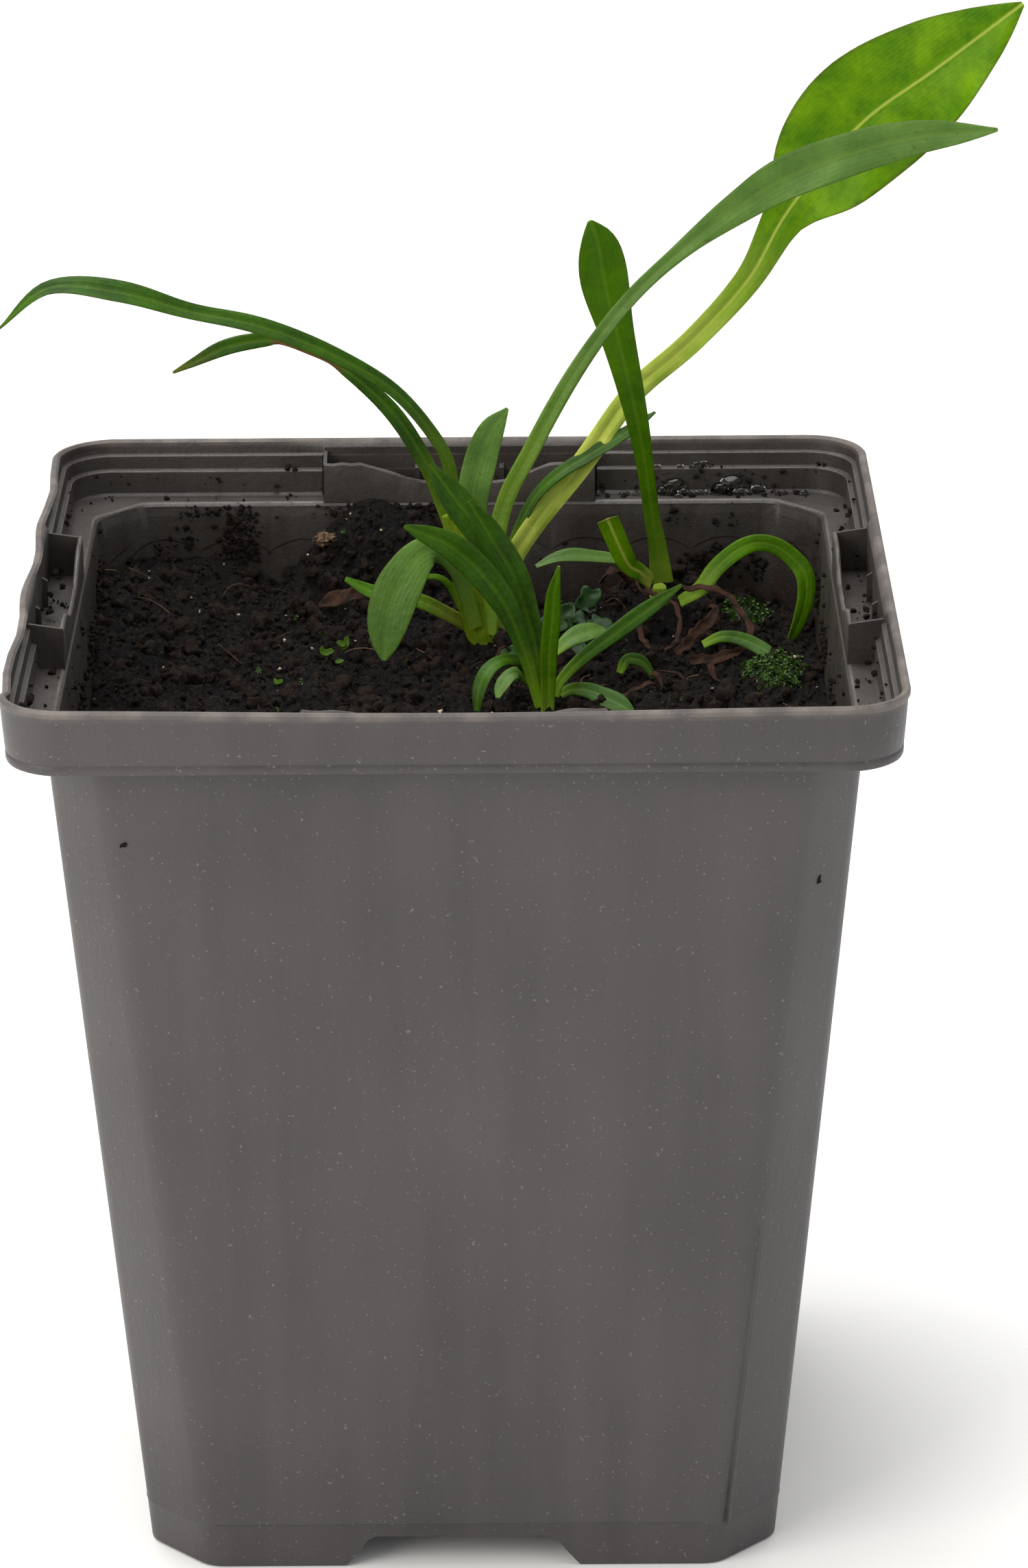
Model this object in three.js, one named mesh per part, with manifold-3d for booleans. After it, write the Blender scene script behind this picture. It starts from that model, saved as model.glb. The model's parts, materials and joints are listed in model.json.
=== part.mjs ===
// A young strap-leaved perennial in a square nursery pot, at its real size.
//
// The pot is a 9 x 9 x 10 cm thin-walled moulding: a tapering body with bevelled corners, a stepped-out
// collar, a label pocket on each side and four feet. It holds a block of peat with three rooted plantlets,
// whose leaves, withered leaves and moss are pieces of their own.
// Millimetres, +Z up. The pot's own axis is the local origin of every shape below, and the last group
// moves it so that the frame's origin is at the centre of the whole object's footprint.
import * as THREE from "three";
import { mergeVertices } from "three/addons/utils/BufferGeometryUtils.js";
import Module from "manifold-3d";

const wasm = await Module();
wasm.setup();

// ---- Driving dimensions ----
const GAP = 0.3; // clearance between pieces that touch
const ORIGIN_SHIFT_X = -6.2; // pot axis to the middle of the footprint, which the long leaves widen

const pot = {
  width: 90, // over the collar
  height: 100,
  wall: 0.9,
  collarBottom: 93,
  collarCorner: 6.5,
  collarDraft: 0.6, // the collar is this much narrower at its lower edge, on each side
  bodyTopWidth: 81.5,
  bodyTopBevel: 5.4,
  bodyBottomWidth: 66.2,
  bodyBottomBevel: 6.4,
  floorBottom: 3.8,
  floorTop: 4.9,
  footChannelTop: 19.6, // width of the gap between two feet
  footChannelBottom: 24.8,
  footFloor: 1.0,
  drainHole: 10,
  sideDrainHole: 7,
  sideDrainAt: 21,
};
const collarSteps = [
  // height at which each inner step starts, and the wall there
  { from: 94, wall: 1.8 },
  { from: 96.8, wall: 1.35 },
  { from: 98.4, wall: 0.9 },
];
const pocket = {
  width: 30,
  tabInner: 40.1, // distance of the tab's inner face from the pot's axis
  tabWall: 0.7,
  tabTop: 98.4,
  tabDip: 96.4,
  dipWidth: 19,
  finSpacing: 9.4,
  finDepth: 1.6,
  finTop: 97.8,
};

// ---- Materials ----
const finish = (color, roughness) => new THREE.MeshStandardMaterial({ color, roughness, metalness: 0 });
const materials = {
  plastic: finish(0x5b5957, 0.55),
  peat: finish(0x241a14, 0.95),
  leafDark: finish(0x2f7a1e, 0.4),
  leafLight: finish(0x5f9c1f, 0.4),
  leafDull: finish(0x4f7f42, 0.5),
  crown: finish(0x8aa030, 0.5),
  withered: finish(0x6e4a30, 0.8),
  moss: finish(0x3c5a1c, 0.9),
};

// ---- Solids ----
function solidOf(geometry) {
  const bare = geometry.index ? geometry.toNonIndexed() : geometry.clone();
  bare.deleteAttribute("normal");
  bare.deleteAttribute("uv");
  const merged = mergeVertices(bare, 1e-4);
  return new wasm.Manifold(
    new wasm.Mesh({
      numProp: 3,
      vertProperties: new Float32Array(merged.attributes.position.array),
      triVerts: new Uint32Array(merged.index.array),
    }),
  );
}

function geometryOf(solid) {
  const mesh = solid.getMesh();
  return new THREE.BufferGeometry()
    .setAttribute("position", new THREE.BufferAttribute(new Float32Array(mesh.vertProperties), 3))
    .setIndex(new THREE.BufferAttribute(new Uint32Array(mesh.triVerts), 1));
}

// Skins a stack of rings of equal point counts, and closes each end with a fan about its middle.
function loft(rings) {
  const count = rings[0].length;
  const points = rings.flat();
  const index = [];
  for (let r = 0; r + 1 < rings.length; r++) {
    for (let i = 0; i < count; i++) {
      const a = r * count + i;
      const b = r * count + ((i + 1) % count);
      index.push(a, b, b + count, a, b + count, a + count);
    }
  }
  for (const [ring, flip] of [[0, true], [rings.length - 1, false]]) {
    const middle = rings[ring].reduce((sum, p) => sum.add(p), new THREE.Vector3()).divideScalar(count);
    const centre = points.push(middle) - 1;
    for (let i = 0; i < count; i++) {
      const a = ring * count + i;
      const b = ring * count + ((i + 1) % count);
      index.push(...(flip ? [centre, b, a] : [centre, a, b]));
    }
  }
  const geometry = new THREE.BufferGeometry().setFromPoints(points);
  geometry.setIndex(index);
  const solid = solidOf(geometry);
  if (solid.volume() >= 0) return solid;
  return solidOf(loftTurned(geometry));
}

function loftTurned(geometry) {
  const index = geometry.index.array;
  for (let i = 0; i < index.length; i += 3) [index[i + 1], index[i + 2]] = [index[i + 2], index[i + 1]];
  return geometry;
}

function box(x0, x1, y0, y1, z0, z1) {
  const geometry = new THREE.BoxGeometry(x1 - x0, y1 - y0, z1 - z0);
  geometry.translate((x0 + x1) / 2, (y0 + y1) / 2, (z0 + z1) / 2);
  return solidOf(geometry);
}

function upright(radius, z0, z1, x, y) {
  const geometry = new THREE.CylinderGeometry(radius, radius, z1 - z0, 24);
  geometry.rotateX(Math.PI / 2);
  geometry.translate(x, y, (z0 + z1) / 2);
  return solidOf(geometry);
}

function largestBody(solid) {
  return solid.decompose().reduce((best, body) => (body.volume() > best.volume() ? body : best));
}

// ---- Pot ----
const CORNER_STEPS = 5;

function roundedSquare(width, radius, z) {
  const ring = [];
  for (let corner = 0; corner < 4; corner++) {
    for (let i = 0; i <= CORNER_STEPS; i++) {
      const angle = ((corner + i / CORNER_STEPS) * Math.PI) / 2;
      const centre = width / 2 - radius;
      const sx = corner === 0 || corner === 3 ? 1 : -1;
      const sy = corner < 2 ? 1 : -1;
      ring.push(
        new THREE.Vector3(
          sx * centre + radius * Math.cos(angle), sy * centre + radius * Math.sin(angle), z,
        ),
      );
    }
  }
  return ring;
}

function bevelledSquare(width, bevel, z) {
  const half = width / 2;
  const long = half - bevel;
  const corners = [
    [half, long], [long, half], [-long, half], [-half, long],
    [-half, -long], [-long, -half], [long, -half], [half, -long],
  ];
  return corners.map(([x, y]) => new THREE.Vector3(x, y, z));
}

function bodyRing(z, inset) {
  const share = z / pot.collarBottom;
  const width = THREE.MathUtils.lerp(pot.bodyBottomWidth, pot.bodyTopWidth, share);
  const bevel = THREE.MathUtils.lerp(pot.bodyBottomBevel, pot.bodyTopBevel, share);
  // an inset octagon keeps the wall even on its bevels
  return bevelledSquare(width - 2 * inset, bevel - inset * (2 - Math.SQRT2), z);
}

function collarRing(z, inset) {
  const share = (pot.height - z) / (pot.height - pot.collarBottom);
  return roundedSquare(pot.width - 2 * pot.collarDraft * share - 2 * inset, pot.collarCorner - inset, z);
}

function collarSolid(z0, z1, inset) {
  return loft([collarRing(z0, inset), collarRing(z1, inset)]);
}

// The gap between two feet, as a bar of trapezoidal section right across the pot.
function footChannel() {
  const top = pot.footChannelTop / 2;
  const bottom = pot.footChannelBottom / 2;
  const shape = new THREE.Shape([
    new THREE.Vector2(-bottom, -1),
    new THREE.Vector2(bottom, -1),
    new THREE.Vector2(bottom, 0),
    new THREE.Vector2(top, pot.floorBottom),
    new THREE.Vector2(-top, pot.floorBottom),
    new THREE.Vector2(-bottom, 0),
  ]);
  const geometry = new THREE.ExtrudeGeometry(shape, { depth: pot.width, bevelEnabled: false });
  geometry.rotateX(Math.PI / 2);
  geometry.translate(0, pot.width / 2, 0);
  return solidOf(geometry);
}

// The hollows inside the four feet, kept a wall away from the channels.
function footHollows(inset) {
  const inner = pot.footChannelBottom / 2 + pot.wall + inset;
  const reach = pot.bodyBottomWidth / 2;
  let hollows = box(inner, reach, inner, reach, pot.footFloor + inset, pot.floorTop + 1);
  for (const [sx, sy] of [[1, -1], [-1, 1], [-1, -1]]) {
    const x = [sx * inner, sx * reach].sort((a, b) => a - b);
    const y = [sy * inner, sy * reach].sort((a, b) => a - b);
    hollows = hollows.add(box(...x, ...y, pot.footFloor + inset, pot.floorTop + 1));
  }
  const inside = loft([bodyRing(0, pot.wall + inset), bodyRing(pot.floorTop + 1, pot.wall + inset)]);
  return hollows.intersect(inside);
}

function labelTab() {
  const half = pocket.width / 2;
  const dip = pocket.dipWidth / 2;
  const base = collarSteps[0].from - 0.5;
  const shape = new THREE.Shape();
  shape.moveTo(-half, base);
  shape.lineTo(half, base);
  shape.lineTo(half, pocket.tabTop);
  shape.lineTo(dip, pocket.tabTop);
  shape.bezierCurveTo(dip / 2, pocket.tabTop, dip / 2, pocket.tabDip, 0, pocket.tabDip);
  shape.bezierCurveTo(-dip / 2, pocket.tabDip, -dip / 2, pocket.tabTop, -dip, pocket.tabTop);
  shape.lineTo(-half, pocket.tabTop);
  const geometry = new THREE.ExtrudeGeometry(shape, {
    depth: pocket.tabWall,
    bevelEnabled: false,
    curveSegments: 5,
  });
  geometry.rotateX(Math.PI / 2);
  geometry.translate(0, pocket.tabInner + pocket.tabWall, 0);
  return solidOf(geometry);
}

// One label pocket on the +Y side: a tab on the ledge's inner edge, two end walls and two small fins.
function labelPocket() {
  const half = pocket.width / 2;
  const base = collarSteps[0].from - 0.5;
  const outer = pot.width / 2 - pot.wall / 2 - pot.collarDraft;
  let made = labelTab();
  for (const side of [-1, 1]) {
    const end = [side * half, side * (half - pocket.tabWall)].sort((a, b) => a - b);
    made = made.add(box(...end, pocket.tabInner, outer, base, pocket.tabTop));
    const fin = side * (pocket.finSpacing / 2);
    made = made.add(box(fin - 0.3, fin + 0.3, outer - pocket.finDepth, outer, base, pocket.finTop));
  }
  return made;
}

function onEachSide(solid) {
  return [0, 90, 180, 270].map((turn) => solid.rotate([0, 0, turn]));
}

function makePot() {
  let shell = loft([bodyRing(0, 0), bodyRing(pot.collarBottom + 0.5, 0)]);
  shell = shell.add(collarSolid(pot.collarBottom, pot.height, 0));
  const channel = footChannel();
  shell = shell.subtract(channel).subtract(channel.rotate([0, 0, 90]));
  // the inside of the body, of the feet and of the stepped collar
  shell = shell.subtract(loft([bodyRing(pot.floorTop, pot.wall), bodyRing(pot.height, pot.wall)]));
  shell = shell.subtract(footHollows(0));
  collarSteps.forEach((step, i) => {
    const top = i + 1 < collarSteps.length ? collarSteps[i + 1].from : pot.height + 1;
    shell = shell.subtract(collarSolid(step.from, top, step.wall));
  });
  // the steps stop at each label pocket, where the collar is plain
  const plain = box(
    -pocket.width / 2, pocket.width / 2, pocket.tabInner, pot.width / 2,
    collarSteps[0].from, pot.height + 1,
  ).intersect(collarSolid(collarSteps[0].from, pot.height + 1, pot.wall));
  for (const cut of onEachSide(plain)) shell = shell.subtract(cut);
  for (const made of onEachSide(labelPocket())) shell = shell.add(made);
  // drain holes through the raised floor
  shell = shell.subtract(upright(pot.drainHole / 2, 0, pot.floorTop + 1, 0, 0));
  for (const hole of onEachSide(upright(pot.sideDrainHole / 2, 0, pot.floorTop + 1, pot.sideDrainAt, 0)))
    shell = shell.subtract(hole);
  return shell;
}

// ---- Soil ----
const soil = { level: 83, tilt: -0.02, cells: 20, top: 100 };
// Banks and mounds on the level bed: middle, radius and height.
const mounds = [
  { x: -38, y: 38, radius: 17, height: 5 },
  { x: -12, y: 39, radius: 5, height: 9 },
  { x: -5, y: 39, radius: 7, height: 8.5 },
  { x: -26, y: 42, radius: 8, height: 3 },
  { x: -42, y: 22, radius: 11, height: 4 },
  { x: 22, y: 31, radius: 8, height: 4.2 },
  { x: 4, y: 20, radius: 7, height: 1.6 },
  { x: 40, y: 10, radius: 8, height: 1.5 },
];

function soilHeight(x, y) {
  const broad = 0.35 * Math.sin(0.55 * x + 1.3) * Math.sin(0.48 * y + 0.4);
  const lumps = broad + 0.25 * Math.sin(1.1 * x - 0.9 * y);
  return mounds.reduce(
    (z, m) => z + m.height * Math.exp(-((x - m.x) ** 2 + (y - m.y) ** 2) / (2 * (m.radius / 1.6) ** 2)),
    soil.level + lumps + soil.tilt * y,
  );
}

// A block whose top follows the soil's surface, raised by lift.
function underSoilSurface(lift) {
  const half = pot.width / 2;
  const geometry = new THREE.BoxGeometry(2 * half, 2 * half, 1, soil.cells, soil.cells, 1);
  const position = geometry.attributes.position;
  for (let i = 0; i < position.count; i++) {
    const x = position.getX(i);
    const y = position.getY(i);
    position.setZ(i, position.getZ(i) > 0 ? soilHeight(x, y) + lift : 0);
  }
  return solidOf(geometry);
}

function makeSoil(pieces) {
  const inset = pot.wall + GAP;
  const inside = loft([bodyRing(pot.floorTop + GAP, inset), bodyRing(pot.collarBottom, inset)]);
  let block = inside.add(footHollows(GAP)).intersect(underSoilSurface(0));
  for (const piece of pieces) block = block.subtract(piece);
  return largestBody(block);
}

// ---- Plantlets ----
// A crown is a short spindle at the soil's surface with a few stout roots below it.
const crowns = {
  crown_main: { at: [2.8, 19.3, 83], radius: 2, above: 1.2, below: 14, roots: 5, reach: 11 },
  crown_front: { at: [9.2, 1.4, 82.2], radius: 1.5, above: 1, below: 11, roots: 4, reach: 9 },
  crown_right: { at: [22, 30.2, 85.8], radius: 1.6, above: 1.2, below: 11, roots: 4, reach: 8 },
};
const ROOT_SIDES = 6;

function spindle(crown, extra) {
  const profile = [
    [0, -crown.below - extra],
    [0.35 * crown.radius + extra, -crown.below],
    [crown.radius + extra, -0.25 * crown.below],
    [crown.radius + extra, 0],
    [0.75 * crown.radius + extra, crown.above],
    [0, crown.above + extra],
  ].map(([radius, height]) => new THREE.Vector2(radius, height));
  const geometry = new THREE.LatheGeometry(profile, 10);
  geometry.rotateX(Math.PI / 2);
  geometry.translate(...crown.at);
  return solidOf(geometry);
}

function root(crown, angle, extra) {
  const [x, y, z] = crown.at;
  // the roots lean towards the pot's axis as they go down
  const curve = new THREE.CatmullRomCurve3(
    [[0, 3, 1], [0.45, 6, 0.97], [0.9, 18, 0.85], [1, 36, 0.72]].map(
      ([out, down, lean]) =>
        new THREE.Vector3(
          x * lean + out * crown.reach * Math.cos(angle),
          y * lean + out * crown.reach * Math.sin(angle),
          z - down,
        ),
    ),
  );
  const stations = 7;
  const rings = [];
  for (let s = 0; s < stations; s++) {
    const share = s / (stations - 1);
    const radius = THREE.MathUtils.lerp(0.9, 0.35, share) + extra;
    rings.push(
      Array.from({ length: ROOT_SIDES }, (_, i) => {
        const turn = (i / ROOT_SIDES) * 2 * Math.PI;
        const side = new THREE.Vector3(radius * Math.cos(turn), radius * Math.sin(turn), 0);
        return curve.getPoint(share * 0.999 + (s === stations - 1 ? extra * 0.001 : 0)).add(side);
      }),
    );
  }
  return loft(rings);
}

function makeCrown(crown, extra = 0) {
  let made = spindle(crown, extra);
  for (let i = 0; i < crown.roots; i++) {
    made = made.add(root(crown, 0.7 + (i / crown.roots) * 2 * Math.PI, extra));
  }
  return made;
}

// ---- Leaves ----
// path: the midrib from the crown to the tip. half: half the blade's width at shares of its length.
// face: the way the upper side looks, at the base and at the tip. thick: the blade at its midrib.
const leaves = {
  leaf_sheath: {
    path: [[2.8, 19, 84.6], [2, 19, 88], [1.1, 19, 91.5], [0.2, 19, 95.5], [-0.6, 19, 99.3]],
    half: [[0, 1.7], [0.2, 1.9], [0.6, 1.6], [1, 1.2]],
    face: [[0, -1, 0.1], [0, -1, 0.1]], thick: 2.2, fold: 0, material: "crown",
  },
  leaf_tall_broad: {
    path: [
      [4, 20.4, 86], [6.1, 21, 94], [13.7, 25, 103.4], [19, 29, 109.7], [25.5, 32, 114.7],
      [31.7, 34, 121.1], [36, 35, 128.5], [43.5, 34.5, 138], [51.5, 33, 144.5], [60.4, 31, 152],
    ],
    half: [
      [0, 1.1], [0.2, 1.2], [0.4, 1.25], [0.5, 1.4], [0.57, 1.8], [0.62, 2.6], [0.68, 5.5], [0.74, 6.8],
      [0.8, 6.8], [0.88, 5.5], [0.94, 3.3], [0.98, 1.4], [1, 0.3],
    ],
    face: [[0.2, -1, 0.3], [-0.1, -1, 0.35]], thick: 0.6, fold: 0.1, material: "leafLight",
  },
  leaf_tall_folded: {
    path: [
      [3.2, 18.2, 86], [4.6, 18.4, 99], [8, 17.5, 107], [12.7, 16.5, 116], [18, 16, 123.6],
      [23.5, 16, 129], [29.6, 16, 133.8], [35.8, 16, 137.6], [46.6, 14, 141.6], [56.4, 11, 143.4],
    ],
    half: [
      [0, 1], [0.3, 0.95], [0.48, 0.8], [0.57, 0.9], [0.66, 1.7], [0.74, 2.3], [0.84, 2.2], [0.9, 1.8],
      [0.95, 1.2], [1, 0.2],
    ],
    face: [[-0.4, -1, 0.2], [-0.1, -1, 0.1]], thick: 0.55, fold: 0.15, material: "leafDull",
  },
  leaf_behind_narrow: {
    path: [
      [5, 21.4, 91.5], [5.9, 21.9, 95], [8, 22.6, 99.5], [10.6, 23.4, 102.1], [13.6, 24.6, 103.7],
      [16.7, 25.9, 105.2], [19, 27.2, 106.3], [21.4, 28.4, 107.8],
    ],
    half: [[0, 0.5], [0.4, 0.7], [0.7, 1], [0.9, 0.7], [1, 0.15]],
    face: [[0, -0.6, 0.8], [0, -0.4, 0.9]], thick: 0.5, fold: 0.15, material: "leafDark",
  },
  leaf_short_upright: {
    path: [
      [2.4, 20.6, 86], [1.9, 20.9, 95], [1.6, 21.6, 100.2], [2.5, 23, 104.3], [3.6, 24.2, 107],
      [5.4, 26, 109],
    ],
    half: [[0, 1], [0.4, 1.4], [0.7, 1.8], [0.88, 1.4], [1, 0.2]],
    face: [[0, -1, 0.2], [0.2, -1, 0.3]], thick: 0.6, fold: 0.15, material: "leafDull",
  },
  leaf_arching_left: {
    path: [
      [-0.5, 18.7, 99], [-0.8, 18.8, 104], [-2.4, 18.6, 108], [-6.9, 18, 113.6], [-13.6, 17, 118],
      [-21, 16, 121.3], [-28.2, 15, 123.2], [-35.4, 14, 125.6], [-42.7, 13, 126.4],
      [-47.9, 11, 122.7],
    ],
    half: [
      [0, 0.8], [0.3, 0.9], [0.5, 1.2], [0.64, 1.1], [0.78, 1.6], [0.86, 1.3], [0.94, 0.6], [1, 0.1],
    ],
    face: [[0.5, -0.8, 0.6], [-0.1, -0.5, 1]], thick: 0.5, fold: 0.2, material: "leafDark",
  },
  leaf_broken_left: {
    path: [
      [-1, 20.6, 98], [-3.2, 21.4, 103.8], [-7.1, 22, 110], [-12.3, 22, 114.9], [-16, 22, 116.8],
      [-19.3, 22, 118], [-22, 21.5, 118], [-25, 21, 117.4], [-28.2, 20, 116.1], [-30.2, 19, 115.4],
    ],
    half: [
      [0, 0.9], [0.3, 1], [0.5, 0.7], [0.55, 0.4], [0.7, 0.4], [0.73, 0.8], [0.85, 0.9], [0.94, 0.5],
      [1, 0.15],
    ],
    face: [[0.5, -0.9, 0.4], [0, -0.8, 0.6]], thick: 0.5, fold: 0.1, material: "leafDark",
  },
  leaf_left_bent: {
    path: [
      [1.8, 17.4, 87], [0, 16.4, 93.4], [-2.2, 15.2, 96.4], [-4.1, 14, 96.2], [-5.6, 13, 94.4],
      [-6.8, 12.5, 92], [-7.6, 12, 89.2], [-8, 11.3, 85.4],
    ],
    half: [[0, 0.8], [0.35, 1], [0.5, 1.8], [0.68, 2.5], [0.84, 2.3], [0.94, 1.4], [1, 0.3]],
    face: [[0.3, -1, 0.4], [-0.3, -1, 0.3]], thick: 0.5, fold: 0.06, material: "leafDull",
  },
  leaf_left_low: {
    path: [
      [1, 19.6, 86.4], [-1.6, 19.4, 88], [-4.3, 19.8, 89.2], [-7.1, 20.2, 89.6], [-9.6, 20.6, 90.1],
      [-12.3, 21, 91.4],
    ],
    half: [[0, 0.8], [0.4, 0.9], [0.8, 0.85], [1, 0.3]],
    face: [[0, -0.8, 0.6], [0, -0.6, 0.8]], thick: 0.5, fold: 0.1, material: "leafLight",
  },
  leaf_left_thin: {
    path: [
      [0.7, 21.4, 86.8], [-0.6, 22, 89.6], [-1.9, 21.8, 91.1], [-3.5, 21.2, 91.5], [-5, 20.8, 91.3],
      [-6.3, 20.4, 91],
    ],
    half: [[0, 0.45], [0.5, 0.4], [1, 0.25]],
    face: [[0, -0.7, 0.7], [0, -0.7, 0.7]], thick: 0.5, fold: 0, material: "leafLight",
  },
  leaf_front_tall: {
    path: [
      [8.6, 3.2, 84], [7.4, 5.4, 91.6], [5.4, 7.4, 96.5], [2.3, 9.2, 100.9], [-0.3, 10.2, 104],
      [-2.8, 11, 107.4],
    ],
    half: [[0, 0.7], [0.35, 1.2], [0.65, 1.7], [0.85, 1.5], [1, 0.3]],
    face: [[-0.2, -1, 0.3], [-0.1, -1, 0.5]], thick: 0.5, fold: 0.12, material: "leafDark",
  },
  leaf_front_wide: {
    path: [
      [8.9, 1.4, 84], [8.5, 2.2, 88], [7.8, 3.6, 91.5], [6, 5.2, 96.8], [3.7, 6.4, 100.6],
      [1.3, 7, 104.6],
    ],
    half: [[0, 0.6], [0.3, 1.1], [0.6, 1.6], [0.85, 1.4], [1, 0.3]],
    face: [[-0.2, -1, 0.2], [0, -1, 0.4]], thick: 0.5, fold: 0.12, material: "leafDark",
  },
  leaf_front_left: {
    path: [
      [8.6, 0, 84], [7.6, 0.6, 88.1], [6.6, 1.2, 91.2], [5.2, 1.8, 94.5], [3.4, 2.4, 97.1],
      [1.3, 3, 99.3], [-1.3, 3, 101.4], [-5.5, 3, 103.2],
    ],
    half: [[0, 0.5], [0.3, 0.9], [0.5, 1.4], [0.75, 1.5], [0.92, 0.9], [1, 0.2]],
    face: [[-0.3, -1, 0.3], [0, -1, 0.5]], thick: 0.5, fold: 0.12, material: "leafDark",
  },
  leaf_front_upright: {
    path: [
      [9.4, -0.5, 83.6], [9.5, -0.9, 87.7], [9.6, -1, 90.9], [9.9, -1, 94], [10.1, -1, 97.1],
      [10.7, -1, 100],
    ],
    half: [[0, 0.7], [0.5, 0.95], [0.8, 0.8], [1, 0.15]],
    face: [[0.2, -1, 0.2], [0.2, -1, 0.2]], thick: 0.5, fold: 0.15, material: "leafLight",
  },
  leaf_front_right: {
    path: [
      [10.2, 1.2, 84.8], [10.6, 1.8, 85.9], [11.7, 3, 87], [13.7, 5, 88.2], [16.4, 7, 89.6],
      [19.4, 9, 91.2], [22, 10.8, 92.5], [23.9, 12, 93.5],
    ],
    half: [[0, 0.5], [0.4, 0.8], [0.75, 0.9], [1, 0.2]],
    face: [[0.3, -0.9, 0.5], [0.3, -0.8, 0.7]], thick: 0.5, fold: 0.12, material: "leafDark",
  },
  leaf_front_curled: {
    path: [
      [8.4, 2.6, 85.3], [6.9, 2.2, 88], [5.2, 0.8, 89.1], [3.7, -0.6, 88.9], [2.7, -1.8, 87.9],
      [2.2, -2.6, 86.5], [2, -3.1, 84.8],
    ],
    half: [[0, 0.5], [0.4, 0.75], [0.8, 0.9], [1, 0.4]],
    face: [[-0.2, -0.6, 0.8], [-0.6, -0.9, 0.2]], thick: 0.5, fold: 0.1, material: "leafDark",
  },
  leaf_front_low_right: {
    path: [
      [10.8, 3, 84.3], [12, 3.4, 84.8], [13.8, 3, 84.8], [15.4, 2, 84.4], [17, 0.8, 84],
      [18.6, -0.4, 83.4],
    ],
    half: [[0, 0.5], [0.4, 1], [0.75, 1.2], [1, 0.3]],
    face: [[0, -0.7, 0.7], [0.2, -0.7, 0.7]], thick: 0.45, fold: 0.1, material: "leafDark",
  },
  leaf_front_low_left: {
    path: [[7.6, 5.4, 84.9], [6.4, 5, 86], [5.4, 4.2, 86], [4.6, 3, 85.2], [4.2, 2, 84.4]],
    half: [[0, 0.5], [0.5, 0.9], [0.8, 0.8], [1, 0.3]],
    face: [[-0.3, -0.7, 0.7], [-0.5, -0.8, 0.4]], thick: 0.45, fold: 0.1, material: "leafDull",
  },
  leaf_middle_low: {
    path: [[10.4, 13.4, 85.4], [11.6, 14, 86.4], [13, 15, 86.9], [14.4, 16, 87], [15.8, 17, 86.8]],
    half: [[0, 0.5], [0.5, 1.2], [0.8, 1], [1, 0.3]],
    face: [[0, -0.6, 0.8], [0.1, -0.6, 0.8]], thick: 0.45, fold: 0.1, material: "leafDull",
  },
  leaf_middle_curled: {
    path: [[17.2, 9, 84.6], [18, 9.8, 85.8], [19.4, 9.9, 85.7], [20.3, 9.5, 84.9], [20.8, 9, 84]],
    half: [[0, 0.4], [0.5, 0.7], [1, 0.3]],
    face: [[0, -0.7, 0.7], [0.5, -0.8, 0.4]], thick: 0.45, fold: 0.1, material: "leafDark",
  },
  leaf_back_spoon: {
    path: [
      [22.2, 29.4, 88], [21.7, 28.6, 92.6], [21.1, 27.6, 96], [20.3, 25.8, 102.3],
      [19.5, 24.8, 107.4], [18.4, 24.4, 112.7], [17.1, 24, 118.2], [15.9, 23.4, 123.6],
      [15.2, 22.7, 128], [14.3, 22, 130.9],
    ],
    half: [
      [0, 1.3], [0.13, 0.95], [0.3, 0.9], [0.5, 1.3], [0.7, 1.9], [0.84, 2.6], [0.92, 2.3],
      [0.97, 1.4], [1, 0.3],
    ],
    face: [[0, -1, 0.2], [0.1, -1, 0.2]], thick: 0.6, fold: 0.12, material: "leafLight",
  },
  leaf_back_cut: {
    path: [[21, 28.8, 88.2], [19.8, 27.2, 89.8], [18.6, 26, 91], [17.5, 25.3, 93.4], [16.2, 24.7, 96.8]],
    half: [[0, 0.9], [0.4, 1.1], [1, 1.25]],
    face: [[-0.1, -0.8, 0.7], [-0.1, -1, 0.2]], thick: 0.45, fold: 0.06, material: "leafLight",
  },
  leaf_back_flat: {
    path: [
      [19.6, 29.6, 89.2], [17.7, 27.6, 91], [15.2, 26, 92], [12.9, 24.8, 92.6], [10.6, 23.8, 92.7],
      [8.4, 23, 92],
    ],
    half: [[0, 0.5], [0.4, 1], [0.7, 1.1], [1, 0.3]],
    face: [[0, -0.5, 0.9], [0, -0.4, 0.95]], thick: 0.45, fold: 0.12, material: "leafDull",
  },
  leaf_right_arch: {
    path: [
      [24.2, 27.2, 86.4], [26.5, 26.6, 88.2], [27.8, 26.8, 90], [29.2, 27, 91.4], [31.1, 27.5, 92.6],
      [33, 28, 92.9], [34.9, 28, 92.4], [36.6, 27.8, 91.1], [37.8, 27.2, 89.5], [37.9, 26.4, 87],
      [37, 25, 84.6], [35.8, 23.2, 82.8],
    ],
    half: [[0, 0.7], [0.15, 1], [0.5, 0.95], [0.8, 1.1], [0.95, 0.8], [1, 0.3]],
    face: [[-0.5, -0.7, 0.5], [0.5, -0.8, -0.2]], thick: 0.5, fold: 0.08, material: "leafLight",
  },
  leaf_right_low: {
    path: [
      [26.4, 17.4, 84.8], [28.2, 17.6, 85.6], [30, 17.6, 85.5], [31.8, 17, 85], [33.4, 15.8, 84.3],
      [34.4, 14.2, 83.6], [34.6, 12.8, 83.2],
    ],
    half: [[0, 0.5], [0.4, 0.85], [0.8, 0.85], [1, 0.3]],
    face: [[0, -0.6, 0.8], [0.5, -0.8, 0.4]], thick: 0.5, fold: 0.1, material: "leafDark",
  },
  leaf_withered_left: {
    path: [[-8, 22.4, 89], [-10, 22.2, 89.4], [-12, 22, 89.3], [-13.6, 21.8, 88.7], [-14.8, 21.6, 88.2]],
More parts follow.
